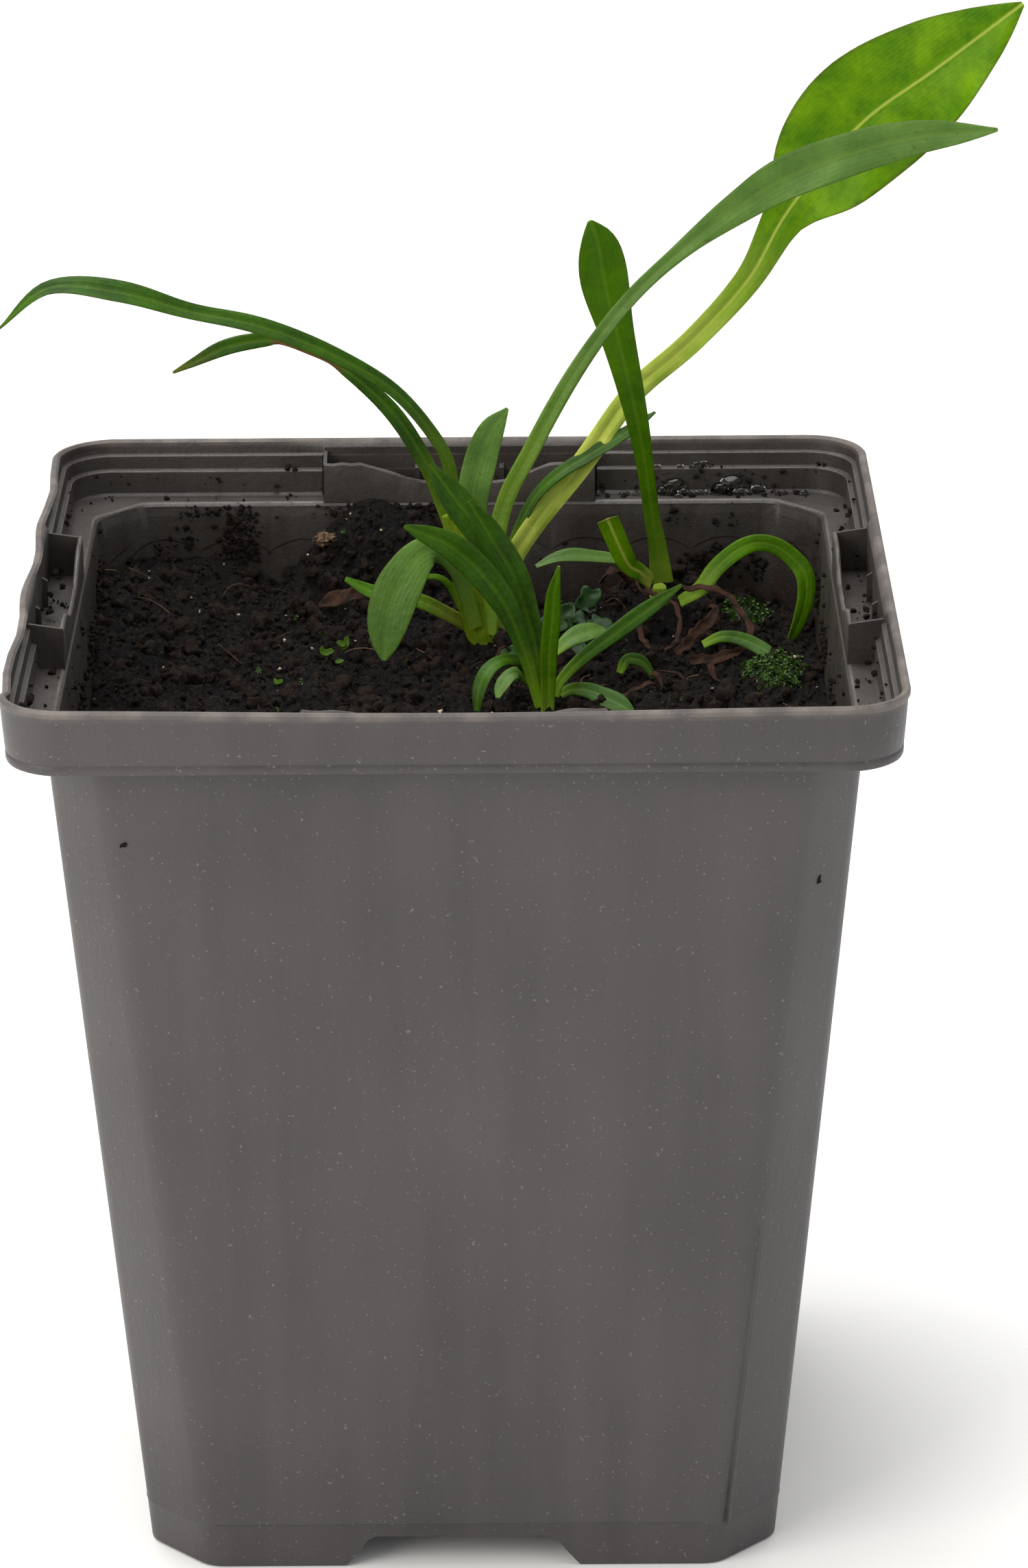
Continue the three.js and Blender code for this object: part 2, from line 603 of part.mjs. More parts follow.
    half: [[0, 0.4], [0.5, 0.8], [0.8, 0.9], [1, 0.3]],
    face: [[0, -0.7, 0.7], [0, -0.7, 0.7]], thick: 0.45, fold: 0.2, material: "withered",
  },
  withered_ring: {
    path: [
      [24.4, 26, 88.4], [27.4, 25.2, 88.7], [29.4, 24.2, 88], [30.6, 23, 86.9], [31.4, 21.6, 85.9],
      [31.2, 19, 84.6], [29.8, 16.6, 84.2], [27.4, 15, 84], [24.8, 14, 84.1],
    ],
    half: [[0, 0.35], [0.5, 0.4], [0.85, 0.6], [1, 0.4]],
    face: [[0, -0.6, 0.8], [0, -0.8, 0.6]], thick: 0.4, fold: 0.2, material: "withered",
  },
  withered_strap: {
    path: [[28, 22.6, 87], [26.4, 20.6, 85.9], [24.8, 18, 84.9], [23.6, 15.6, 84.2]],
    half: [[0, 0.5], [0.5, 0.7], [1, 0.4]],
    face: [[0.4, -0.7, 0.6], [0.4, -0.7, 0.6]], thick: 0.4, fold: 0.2, material: "withered",
  },
  withered_coil: {
    path: [
      [18.6, 25.2, 89.6], [17.6, 24, 91], [16.3, 23.6, 91.2], [15.4, 23.8, 90], [16, 24.2, 88.8],
      [17.2, 24.2, 88.4],
    ],
    half: [[0, 0.4], [0.5, 0.6], [1, 0.4]],
    face: [[0, -0.2, 1], [0, -0.2, 1]], thick: 0.35, fold: 0, material: "withered",
  },
  withered_strand_long: {
    path: [
      [20.2, 26.4, 88.3], [21.8, 24.2, 88], [23.6, 22.6, 87.2], [24, 20, 86.2], [23.4, 17.2, 85],
      [22.2, 16.2, 84.4],
    ],
    half: [[0, 0.35], [0.5, 0.3], [1, 0.25]],
    face: [[0, -0.7, 0.7], [0, -0.7, 0.7]], thick: 0.35, fold: 0, material: "withered",
  },
  withered_strand_short: {
    path: [[21.6, 22.4, 87.6], [20, 20.6, 87], [19.6, 18.8, 85.8], [20.6, 16.8, 84.8]],
    half: [[0, 0.35], [0.5, 0.35], [1, 0.25]],
    face: [[0, -0.7, 0.7], [0, -0.7, 0.7]], thick: 0.35, fold: 0, material: "withered",
  },
};

function widthAt(half, share) {
  let i = 0;
  while (i + 2 < half.length && share > half[i + 1][0]) i++;
  const [[t0, w0], [t1, w1]] = [half[i], half[i + 1]];
  return THREE.MathUtils.lerp(w0, w1, THREE.MathUtils.smoothstep(share, t0, t1));
}

// A leaf is a lens-shaped section, folded a little along its midrib, swept along its path.
function makeLeaf(leaf, extra = 0) {
  const curve = new THREE.CatmullRomCurve3(leaf.path.map((p) => new THREE.Vector3(...p)));
  const stations = 3 + 2 * leaf.path.length;
  const [faceBase, faceTip] = leaf.face.map((v) => new THREE.Vector3(...v));
  const rings = [];
  for (let s = 0; s <= stations; s++) {
    const share = s / stations;
    const centre = curve.getPointAt(share);
    const along = curve.getTangentAt(share);
    const side = new THREE.Vector3().crossVectors(along, faceBase.clone().lerp(faceTip, share)).normalize();
    const up = new THREE.Vector3().crossVectors(side, along).normalize();
    const half = widthAt(leaf.half, share) + extra;
    const thick = (leaf.thick / 2) * (1 - 0.4 * share) + extra;
    const end = s === 0 ? -extra : s === stations ? extra : 0;
    const point = (a, b) =>
      centre.clone().addScaledVector(side, a).addScaledVector(up, b).addScaledVector(along, end);
    const lift = leaf.fold * half;
    rings.push([
      point(-half, lift + extra), point(-half, lift - 0.08 - extra), point(0, -thick),
      point(half, lift - 0.08 - extra), point(half, lift + extra), point(0, thick),
    ]);
  }
  return loft(rings);
}

// ---- Moss ----
const mossPads = {
  moss_right: { at: [34, 10.5], size: [3.4, 5, 1.3] },
  moss_behind: { at: [30.5, 31], size: [3.6, 3.4, 1.1] },
  moss_middle: { at: [12.5, 24], size: [4, 4.4, 1.5] },
};

function makeMoss(pad) {
  const geometry = new THREE.SphereGeometry(1, 12, 8);
  geometry.scale(...pad.size);
  geometry.translate(pad.at[0], pad.at[1], soilHeight(...pad.at) + 0.2);
  return solidOf(geometry).subtract(underSoilSurface(GAP));
}

// ---- Assembly ----
const plant = new THREE.Group();

function addNode(name, solid, material) {
  const mesh = new THREE.Mesh(geometryOf(solid), materials[material]);
  mesh.name = name;
  plant.add(mesh);
}

// Each piece is cut back from those before it, so that neighbours keep a clearance.
const placed = [];

function place(name, made, swollen, material) {
  let solid = made;
  for (const other of placed) solid = solid.subtract(other);
  addNode(name, largestBody(solid), material);
  placed.push(swollen);
}

for (const [name, crown] of Object.entries(crowns)) {
  place(name, makeCrown(crown), makeCrown(crown, GAP), "crown");
}
for (const [name, leaf] of Object.entries(leaves)) {
  place(name, makeLeaf(leaf), makeLeaf(leaf, GAP), leaf.material);
}
for (const [name, pad] of Object.entries(mossPads)) {
  const made = makeMoss(pad);
  place(name, made, made, "moss");
}
addNode("potting_soil", makeSoil(placed), "peat");
addNode("pot", makePot(), "plastic");

plant.position.x = ORIGIN_SHIFT_X;
const assembly = new THREE.Group();
assembly.add(plant);

export default assembly;
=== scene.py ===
import json
import math
import random

import bmesh
import bpy
from mathutils import Matrix, Vector, noise
from mathutils.bvhtree import BVHTree

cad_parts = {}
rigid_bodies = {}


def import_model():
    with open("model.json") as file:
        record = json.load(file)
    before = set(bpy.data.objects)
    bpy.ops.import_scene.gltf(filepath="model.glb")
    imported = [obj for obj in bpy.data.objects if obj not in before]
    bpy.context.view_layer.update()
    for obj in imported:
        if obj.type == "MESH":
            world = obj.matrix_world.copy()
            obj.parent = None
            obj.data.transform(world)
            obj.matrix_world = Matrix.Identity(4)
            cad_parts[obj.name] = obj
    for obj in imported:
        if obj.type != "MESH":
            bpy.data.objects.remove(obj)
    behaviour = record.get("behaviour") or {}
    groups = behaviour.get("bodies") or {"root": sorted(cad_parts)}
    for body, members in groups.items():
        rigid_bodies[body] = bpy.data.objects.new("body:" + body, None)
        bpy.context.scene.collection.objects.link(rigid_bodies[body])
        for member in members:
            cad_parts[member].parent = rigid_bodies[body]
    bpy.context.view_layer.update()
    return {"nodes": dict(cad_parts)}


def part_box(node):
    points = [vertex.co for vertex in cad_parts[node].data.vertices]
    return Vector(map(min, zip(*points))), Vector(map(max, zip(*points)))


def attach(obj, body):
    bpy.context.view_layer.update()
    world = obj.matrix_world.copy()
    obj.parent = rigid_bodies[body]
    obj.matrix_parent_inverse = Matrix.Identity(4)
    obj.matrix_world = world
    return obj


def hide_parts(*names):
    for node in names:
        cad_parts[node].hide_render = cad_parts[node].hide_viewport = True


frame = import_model()
print("frame loaded")

mm = 0.001
potLow, potHigh = (Vector(corner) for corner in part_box("pot"))
potAxis = Vector(((potLow.x + potHigh.x) / 2, (potLow.y + potHigh.y) / 2, potLow.z))


def at(x, y, z):  # millimetres from the middle of the pot's foot
    return potAxis + Vector((x, y, z)) * mm


def colour(code):
    parts = [int(code[i : i + 2], 16) / 255 for i in (1, 3, 5)]
    return tuple(p / 12.92 if p <= 0.04045 else ((p + 0.055) / 1.055) ** 2.4 for p in parts) + (1.0,)


# Adds a node: links holds its inputs by name or number, as values or as what feeds them.
def addNode(tree, kind, links=None, **settings):
    node = tree.nodes.new(kind)
    for name, value in settings.items():
        setattr(node, name, value)
    for name, value in (links or {}).items():
        if isinstance(value, bpy.types.Node):
            value = value.outputs[0]
        if isinstance(value, bpy.types.NodeSocket):
            tree.links.new(value, node.inputs[name])
        else:
            node.inputs[name].default_value = value
    return node


def newMaterial(name):
    material = bpy.data.materials.new(name)
    material.use_nodes = True
    tree = material.node_tree
    return material, tree, tree.nodes["Principled BSDF"]


def newPiece(name, mesh, material, slot, *nodes):
    piece = bpy.data.objects.new(name, mesh)
    bpy.context.scene.collection.objects.link(piece)
    if material:
        mesh.materials.clear()
        mesh.materials.append(material)
    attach(piece, "root")
    if nodes:
        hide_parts(*nodes)
    return piece


# ---- Camera, floor and light ----
stageLook = {
    "lens": 136.6,
    "cameraPlace": (5.85, -590.2, 297.1),
    "pitch": 20.587,
    "roll": -0.36,
    "floorSize": 6.0,
    "floorTone": "#fbfaf8",
    "worldStrength": 0.62,
}


def makeStage():
    camera = bpy.data.objects.new("camera", bpy.data.cameras.new("camera"))
    camera.data.lens = stageLook["lens"]
    camera.data.sensor_width = 36
    camera.data.clip_start = 0.01
    tilt = Matrix.Rotation(math.radians(90 - stageLook["pitch"]), 4, "X")
    roll = Matrix.Rotation(math.radians(stageLook["roll"]), 4, "Z")
    camera.matrix_world = Matrix.Translation(at(*stageLook["cameraPlace"])) @ tilt @ roll
    bpy.context.scene.collection.objects.link(camera)
    bpy.context.scene.camera = camera

    floorMesh = bpy.data.meshes.new("floor")
    half = stageLook["floorSize"] / 2
    corners = [(-half, -half, 0), (half, -half, 0), (half, half, 0), (-half, half, 0)]
    floorMesh.from_pydata(corners, [], [(0, 1, 2, 3)])
    floor = bpy.data.objects.new("floor", floorMesh)
    bpy.context.scene.collection.objects.link(floor)
    paper, tree, shader = newMaterial("white studio paper")  # matt, so it only takes soft shadows
    shader.inputs["Base Color"].default_value = colour(stageLook["floorTone"])
    shader.inputs["Roughness"].default_value = 0.9
    floorMesh.materials.append(paper)

    world = bpy.data.worlds.new("studio")
    bpy.context.scene.world = world
    world.use_nodes = True
    background = world.node_tree.nodes["Background"]
    background.inputs["Color"].default_value = (1, 1, 1, 1)
    background.inputs["Strength"].default_value = stageLook["worldStrength"]

    # name, place, size, watts, colour: each looks at the top of the pot
    softBoxes = (
        ("topLight", (-120, 150, 900), 0.7, 8.0, "#ffffff"),
        ("leftLight", (-700, -600, 500), 0.6, 6.0, "#fffaf4"),
        ("rightLight", (800, -450, 350), 0.5, 0.9, "#f0f4ff"),
    )
    for name, place, size, power, tint in softBoxes:
        lamp = bpy.data.lights.new(name, "AREA")
        lamp.shape = "SQUARE"
        lamp.size = size
        lamp.energy = power
        lamp.color = colour(tint)[:3]
        light = bpy.data.objects.new(name, lamp)
        light.location = at(*place)
        light.rotation_euler = (at(0, 0, 80) - light.location).to_track_quat("-Z", "Y").to_euler()
        bpy.context.scene.collection.objects.link(light)
    bpy.context.scene.view_settings.view_transform = "Standard"


makeStage()
print("stage made")


# ---- Materials ----
# Grey recycled polypropylene, injection moulded: semi-matt, faintly streaked the way the melt ran. The
# "inside" attribute marks where it is stained and dusty with soil. A second attribute marks edges painted
# paler: on the rim that is scuffing, and on the inner steps and the ledge edge it is a painted highlight.
def makePotPlastic():
    material, tree, shader = newMaterial("moulded grey polypropylene")
    place = addNode(tree, "ShaderNodeTexCoord").outputs["Object"]
    inside = addNode(tree, "ShaderNodeAttribute", attribute_name="inside").outputs["Fac"]
    lip = addNode(tree, "ShaderNodeAttribute", attribute_name="lip").outputs["Fac"]

    # flow streaks about 4 mm wide run up the walls, and cloudy patches of 20 mm lie over them
    upright = addNode(tree, "ShaderNodeMapping", {"Vector": place, "Scale": (260, 260, 9)})
    streaks = addNode(tree, "ShaderNodeTexNoise", {"Vector": upright, "Scale": 1.0, "Detail": 4.0})
    clouds = addNode(tree, "ShaderNodeTexNoise", {"Vector": place, "Scale": 38.0, "Detail": 2.0})
    tone = addNode(tree, "ShaderNodeMath", {0: streaks, 1: clouds}, operation="ADD")
    tone = addNode(tree, "ShaderNodeMapRange", {0: tone, 1: 0.75, 2: 1.25, 3: 0.0, 4: 1.0})
    wall = addNode(
        tree, "ShaderNodeMix", {0: tone, 6: colour("#373434"), 7: colour("#434040")}, data_type="RGBA"
    )

    # pale specks of 0.2 mm and short upright scratches
    fine = addNode(tree, "ShaderNodeTexNoise", {"Vector": place, "Scale": 2600.0, "Detail": 1.0})
    speck = addNode(tree, "ShaderNodeMapRange", {0: fine, 1: 0.70, 2: 0.76, 3: 0.0, 4: 0.35})
    speckled = addNode(
        tree, "ShaderNodeMix", {0: speck, 6: wall.outputs[2], 7: colour("#8d8782")}, data_type="RGBA"
    )

    # the inside is darker, stained brown towards the soil, with specks of dirt
    height = addNode(tree, "ShaderNodeSeparateXYZ", {0: place}).outputs[2]
    near = addNode(tree, "ShaderNodeMapRange", {0: height, 1: 0.083, 2: 0.0935, 3: 0.34, 4: 0.0})
    stain = addNode(
        tree, "ShaderNodeTexNoise", {"Vector": place, "Scale": 210.0, "Detail": 7.0, "Roughness": 0.7}
    )
    stain = addNode(tree, "ShaderNodeMath", {0: stain, 1: near}, operation="ADD")
    stain = addNode(tree, "ShaderNodeMapRange", {0: stain, 1: 0.46, 2: 0.78, 3: 0.0, 4: 1.0})
    dim = addNode(
        tree, "ShaderNodeMix", {0: stain, 6: colour("#383330"), 7: colour("#241c17")}, data_type="RGBA"
    )
    dust = addNode(
        tree, "ShaderNodeTexNoise", {"Vector": place, "Scale": 1300.0, "Detail": 5.0, "Roughness": 0.75}
    )
    dust = addNode(tree, "ShaderNodeMapRange", {0: dust, 1: 0.60, 2: 0.68, 3: 0.0, 4: 0.8})
    dirty = addNode(
        tree, "ShaderNodeMix", {0: dust, 6: dim.outputs[2], 7: colour("#3a2a20")}, data_type="RGBA"
    )
    body = addNode(
        tree, "ShaderNodeMix", {0: inside, 6: speckled.outputs[2], 7: dirty.outputs[2]}, data_type="RGBA"
    )

    # the rim is scuffed pale in patches; on the inner step and ledge edges the same pale patches are a
    # painted highlight
    rubbedAndLitMask = addNode(tree, "ShaderNodeTexNoise", {"Vector": place, "Scale": 230.0, "Detail": 6.0})
    rubbedAndLitMask = addNode(tree, "ShaderNodeMapRange", {0: rubbedAndLitMask, 1: 0.42, 2: 0.66, 3: 0.25, 4: 0.8})
    rubbedAndLitMask = addNode(tree, "ShaderNodeMath", {0: rubbedAndLitMask, 1: lip}, operation="MULTIPLY")
    rubbedAndLit = addNode(
        tree, "ShaderNodeMix", {0: rubbedAndLitMask, 6: body.outputs[2], 7: colour("#766d66")}, data_type="RGBA"
    )
    tree.links.new(rubbedAndLit.outputs[2], shader.inputs["Base Color"])

    gloss = addNode(tree, "ShaderNodeMapRange", {0: streaks, 1: 0.3, 2: 0.7, 3: 0.42, 4: 0.56})
    dusty = addNode(tree, "ShaderNodeMath", {0: dust, 1: inside}, operation="MULTIPLY")
    gloss = addNode(tree, "ShaderNodeMath", {0: gloss, 1: dusty}, operation="ADD", use_clamp=True)
    tree.links.new(gloss.outputs[0], shader.inputs["Roughness"])
    shader.inputs["IOR"].default_value = 1.49

    grain = addNode(tree, "ShaderNodeMapping", {"Vector": place, "Scale": (2400, 2400, 70)})
    grain = addNode(tree, "ShaderNodeTexNoise", {"Vector": grain, "Scale": 1.0, "Detail": 3.0})
    grain = addNode(tree, "ShaderNodeMath", {0: grain, 1: fine}, operation="ADD")
    bump = addNode(tree, "ShaderNodeBump", {"Height": grain, "Strength": 0.12, "Distance": 0.0003})

    # shallow flutes 3.9 mm wide under the ledge, each with an arched lower end
    facing = addNode(
        tree, "ShaderNodeSeparateXYZ", {0: addNode(tree, "ShaderNodeNewGeometry").outputs["Normal"]}
    )
    sideways = addNode(tree, "ShaderNodeMath", {0: facing.outputs[0]}, operation="ABSOLUTE")
    sideways = addNode(tree, "ShaderNodeMath", {0: sideways, 1: 0.7}, operation="GREATER_THAN")
    spot = addNode(tree, "ShaderNodeSeparateXYZ", {0: place})
    run = addNode(
        tree, "ShaderNodeMix", {0: sideways, 2: spot.outputs[0], 3: spot.outputs[1]}, data_type="FLOAT"
    )
    cell = addNode(tree, "ShaderNodeMath", {0: run, 1: 1 / 0.0039}, operation="MULTIPLY")
    cell = addNode(tree, "ShaderNodeMath", {0: cell, 1: 1.0}, operation="PINGPONG")
    arch = addNode(tree, "ShaderNodeMath", {0: cell, 1: cell}, operation="MULTIPLY")
    arch = addNode(tree, "ShaderNodeMath", {0: arch, 1: 0.0014}, operation="MULTIPLY")
    arch = addNode(tree, "ShaderNodeMath", {0: spot.outputs[2], 1: arch}, operation="ADD")
    below = addNode(tree, "ShaderNodeMapRange", {0: arch, 1: 0.0897, 2: 0.0899, 3: 0.0, 4: 1.0})
    above = addNode(tree, "ShaderNodeMapRange", {0: spot.outputs[2], 1: 0.0925, 2: 0.0934, 3: 1.0, 4: 0.0})
    groove = addNode(tree, "ShaderNodeMapRange", {0: cell, 1: 0.82, 2: 0.98, 3: 1.0, 4: 0.25})
    flute = addNode(tree, "ShaderNodeMath", {0: below, 1: above}, operation="MULTIPLY")
    flute = addNode(tree, "ShaderNodeMath", {0: flute, 1: groove}, operation="MULTIPLY")
    flute = addNode(tree, "ShaderNodeMath", {0: flute, 1: inside}, operation="MULTIPLY")
    fluted = addNode(
        tree, "ShaderNodeBump", {"Height": flute, "Strength": 0.5, "Distance": 0.00015, "Normal": bump}
    )
    tree.links.new(fluted.outputs[0], shader.inputs["Normal"])
    return material


# Damp black peat: almost black, rough in the hollows, with wet glints on the crumbs.
def makePeat(name, dark, light, wet):
    material, tree, shader = newMaterial(name)
    place = addNode(tree, "ShaderNodeTexCoord").outputs["Object"]
    # the "tone" attribute: on the soil it is a painted shade and highlight, darker in the hollows of the
    # relief and lighter on the rises; on crumbs it is a random tone
    tone = addNode(tree, "ShaderNodeAttribute", attribute_name="tone").outputs["Fac"]
    lumps = addNode(
        tree, "ShaderNodeTexNoise", {"Vector": place, "Scale": 420.0, "Detail": 8.0, "Roughness": 0.7}
    )
    mixed = addNode(tree, "ShaderNodeMath", {0: lumps, 1: tone}, operation="ADD")
    mixed = addNode(tree, "ShaderNodeMapRange", {0: mixed, 1: 0.55, 2: 1.5, 3: 0.0, 4: 1.0})
    shade = addNode(tree, "ShaderNodeMix", {0: mixed, 6: colour(dark), 7: colour(light)}, data_type="RGBA")
    tree.links.new(shade.outputs[2], shader.inputs["Base Color"])
    damp = addNode(tree, "ShaderNodeTexNoise", {"Vector": place, "Scale": 1500.0, "Detail": 2.0})
    damp = addNode(tree, "ShaderNodeMapRange", {0: damp, 1: 0.48, 2: 0.62, 3: 0.95, 4: wet})
    tree.links.new(damp.outputs[0], shader.inputs["Roughness"])
    shader.inputs["Specular IOR Level"].default_value = 0.22
    fine = addNode(
        tree, "ShaderNodeTexNoise", {"Vector": place, "Scale": 2200.0, "Detail": 6.0, "Roughness": 0.75}
    )
    bump = addNode(tree, "ShaderNodeBump", {"Height": fine, "Strength": 1.0, "Distance": 0.0007})
    tree.links.new(bump.outputs[0], shader.inputs["Normal"])
    return material


# A thin fresh leaf: waxy, with faint parallel veins, light glowing through it, a midrib and a paler stalk.
# bladePlace holds how far across (-1 to 1), how far along (0 to 1) and the half width in metres.
def makeLeafSkin(name, look):
    material, tree, shader = newMaterial(name)
    place = addNode(tree, "ShaderNodeTexCoord").outputs["Object"]
    blades = addNode(tree, "ShaderNodeAttribute", attribute_name="bladePlace").outputs["Vector"]
    parts = addNode(tree, "ShaderNodeSeparateXYZ", {0: blades})
    across, along, half = parts.outputs
    pale = addNode(tree, "ShaderNodeAttribute", attribute_name="pale").outputs["Fac"]
    dry = addNode(tree, "ShaderNodeAttribute", attribute_name="dry").outputs["Fac"]
    upper = addNode(tree, "ShaderNodeAttribute", attribute_name="upper").outputs["Fac"]
    sideways = addNode(tree, "ShaderNodeMath", {0: across, 1: half}, operation="MULTIPLY")

    # patches about 3 mm across, with finer mottling of 0.6 mm inside them
    patches = addNode(tree, "ShaderNodeTexNoise", {"Vector": place, "Scale": 260.0, "Detail": 3.0})
    mottle = addNode(tree, "ShaderNodeTexNoise", {"Vector": place, "Scale": 1500.0, "Detail": 3.0})
    mixed = addNode(tree, "ShaderNodeMath", {0: mottle, 1: 0.35}, operation="MULTIPLY")
    mixed = addNode(tree, "ShaderNodeMath", {0: mixed, 1: patches}, operation="ADD")
    mixed = addNode(tree, "ShaderNodeMapRange", {0: mixed, 1: 0.5, 2: 0.9, 3: 0.0, 4: 1.0})
    green = addNode(
        tree, "ShaderNodeMix", {0: mixed, 6: colour(look["dark"]), 7: colour(look["blade"])}, data_type="RGBA"
    )
    sides = addNode(
        tree, "ShaderNodeMix", {0: upper, 6: colour(look["under"]), 7: green.outputs[2]}, data_type="RGBA"
    )

    # parallel veins 0.45 mm apart, waved a little by noise
    wander = addNode(tree, "ShaderNodeTexNoise", {"Vector": place, "Scale": 120.0, "Detail": 2.0})
    wander = addNode(tree, "ShaderNodeMath", {0: wander, 1: 0.0007}, operation="MULTIPLY")
    vein = addNode(tree, "ShaderNodeMath", {0: sideways, 1: wander}, operation="ADD")
    vein = addNode(tree, "ShaderNodeMath", {0: vein, 1: 2 * math.pi / 0.00045}, operation="MULTIPLY")
    vein = addNode(tree, "ShaderNodeMath", {0: vein}, operation="SINE")
    vein = addNode(tree, "ShaderNodeMapRange", {0: vein, 1: 0.0, 2: 1.0, 3: 0.0, 4: 1.0})
    faint = addNode(tree, "ShaderNodeMath", {0: vein, 1: look["veins"]}, operation="MULTIPLY")
    veined = addNode(
        tree, "ShaderNodeMix", {0: faint, 6: sides.outputs[2], 7: colour(look["stalk"])}, data_type="RGBA"
    )

    # the midrib is a line 0.25 mm wide, and the very edge is darker
    away = addNode(tree, "ShaderNodeMath", {0: sideways}, operation="ABSOLUTE")
    rib = addNode(tree, "ShaderNodeMapRange", {0: away, 1: 0.00008, 2: 0.00022, 3: look["midrib"], 4: 0.0})
    ribbed = addNode(
        tree, "ShaderNodeMix", {0: rib, 6: veined.outputs[2], 7: colour(look["stalk"])}, data_type="RGBA"
    )
    edge = addNode(tree, "ShaderNodeMath", {0: across}, operation="ABSOLUTE")
    edge = addNode(tree, "ShaderNodeMapRange", {0: edge, 1: 0.93, 2: 1.0, 3: 0.0, 4: 0.55})
    edged = addNode(
        tree, "ShaderNodeMix", {0: edge, 6: ribbed.outputs[2], 7: colour("#4a3a12")}, data_type="RGBA"
    )

    # the stalk is pale with greener blotches
    blotch = addNode(tree, "ShaderNodeMapRange", {0: patches, 1: 0.42, 2: 0.62, 3: 1.0, 4: 0.55})
    stalky = addNode(tree, "ShaderNodeMath", {0: pale, 1: blotch}, operation="MULTIPLY")
    based = addNode(
        tree, "ShaderNodeMix", {0: stalky, 6: edged.outputs[2], 7: colour(look["stalk"])}, data_type="RGBA"
    )

    # dried stretches, and soil dust in specks
    crisp = addNode(
        tree, "ShaderNodeMix", {0: mottle, 6: colour("#3a2414"), 7: colour("#8a6038")}, data_type="RGBA"
    )
    dried = addNode(
        tree, "ShaderNodeMix", {0: dry, 6: based.outputs[2], 7: crisp.outputs[2]}, data_type="RGBA"
    )
    dust = addNode(
        tree, "ShaderNodeTexNoise", {"Vector": place, "Scale": 1400.0, "Detail": 4.0, "Roughness": 0.7}
    )
    dust = addNode(tree, "ShaderNodeMapRange", {0: dust, 1: 0.61, 2: 0.68, 3: 0.0, 4: look["dust"]})
    skin = addNode(
        tree, "ShaderNodeMix", {0: dust, 6: dried.outputs[2], 7: colour("#3b2c1a")}, data_type="RGBA"
    )
    skin = skin.outputs[2]
    tree.links.new(skin, shader.inputs["Base Color"])
    gloss = addNode(tree, "ShaderNodeMapRange", {0: patches, 1: 0.3, 2: 0.7, 3: 0.52, 4: 0.36})
    tree.links.new(gloss.outputs[0], shader.inputs["Roughness"])
    shader.inputs["IOR"].default_value = 1.45
    shader.inputs["Specular IOR Level"].default_value = look["sheen"]

    height = addNode(tree, "ShaderNodeMath", {0: vein, 1: 0.14}, operation="MULTIPLY")
    height = addNode(tree, "ShaderNodeMath", {0: height, 1: mottle}, operation="ADD")
    bump = addNode(tree, "ShaderNodeBump", {"Height": height, "Strength": 0.35, "Distance": 0.0002})
    tree.links.new(bump.outputs[0], shader.inputs["Normal"])

    # light that comes through is yellower than the leaf
    warm = addNode(tree, "ShaderNodeMix", {0: 0.4, 6: skin, 7: colour("#6f9a08")}, data_type="RGBA")
    through = addNode(tree, "ShaderNodeBsdfTranslucent", {"Color": warm.outputs[2], "Normal": bump})
    both = addNode(tree, "ShaderNodeMixShader", {0: look["glow"], 1: shader, 2: through})
    tree.links.new(both.outputs[0], tree.nodes["Material Output"].inputs["Surface"])
    return material


# A dead leaf, dried brown: matt, papery and streaked along its length.
def makeWithered():
    material, tree, shader = newMaterial("dried brown leaf")
    place = addNode(tree, "ShaderNodeTexCoord").outputs["Object"]
    patches = addNode(
        tree, "ShaderNodeTexNoise", {"Vector": place, "Scale": 700.0, "Detail": 6.0, "Roughness": 0.7}
    )
    patches = addNode(tree, "ShaderNodeMapRange", {0: patches, 1: 0.35, 2: 0.7, 3: 0.0, 4: 1.0})
    shade = addNode(
        tree, "ShaderNodeMix", {0: patches, 6: colour("#150a05"), 7: colour("#482a19")}, data_type="RGBA"
    )
    tree.links.new(shade.outputs[2], shader.inputs["Base Color"])
    shader.inputs["Roughness"].default_value = 0.7
    shader.inputs["Specular IOR Level"].default_value = 0.2
    bump = addNode(tree, "ShaderNodeBump", {"Height": patches, "Strength": 0.7, "Distance": 0.0003})
    tree.links.new(bump.outputs[0], shader.inputs["Normal"])
    return material


# Short green moss: many leaflets, each a little different in tone.
def makeMossGreen():
    material, tree, shader = newMaterial("fresh moss")
    tone = addNode(tree, "ShaderNodeAttribute", attribute_name="tone").outputs["Fac"]
    shade = addNode(
        tree, "ShaderNodeMix", {0: tone, 6: colour("#111d05"), 7: colour("#37560f")}, data_type="RGBA"
    )
    tree.links.new(shade.outputs[2], shader.inputs["Base Color"])
    shader.inputs["Roughness"].default_value = 0.5
    return material


# Quartz and feldspar grit, washed: pale, partly clear grains.
def makeGrit():
    material, tree, shader = newMaterial("washed quartz grit")
    tone = addNode(tree, "ShaderNodeAttribute", attribute_name="tone").outputs["Fac"]
    shade = addNode(
        tree, "ShaderNodeMix", {0: tone, 6: colour("#4a3a2c"), 7: colour("#b5a792")}, data_type="RGBA"
    )
    tree.links.new(shade.outputs[2], shader.inputs["Base Color"])
    shader.inputs["Roughness"].default_value = 0.25
    return material


# Plant fibre from the peat, dry and pale brown.
def makeFibre():
    material, tree, shader = newMaterial("dry peat fibre")
    tone = addNode(tree, "ShaderNodeAttribute", attribute_name="tone").outputs["Fac"]
    shade = addNode(
        tree, "ShaderNodeMix", {0: tone, 6: colour("#20140c"), 7: colour("#6e5238")}, data_type="RGBA"
    )
    tree.links.new(shade.outputs[2], shader.inputs["Base Color"])
    shader.inputs["Roughness"].default_value = 0.7
    return material


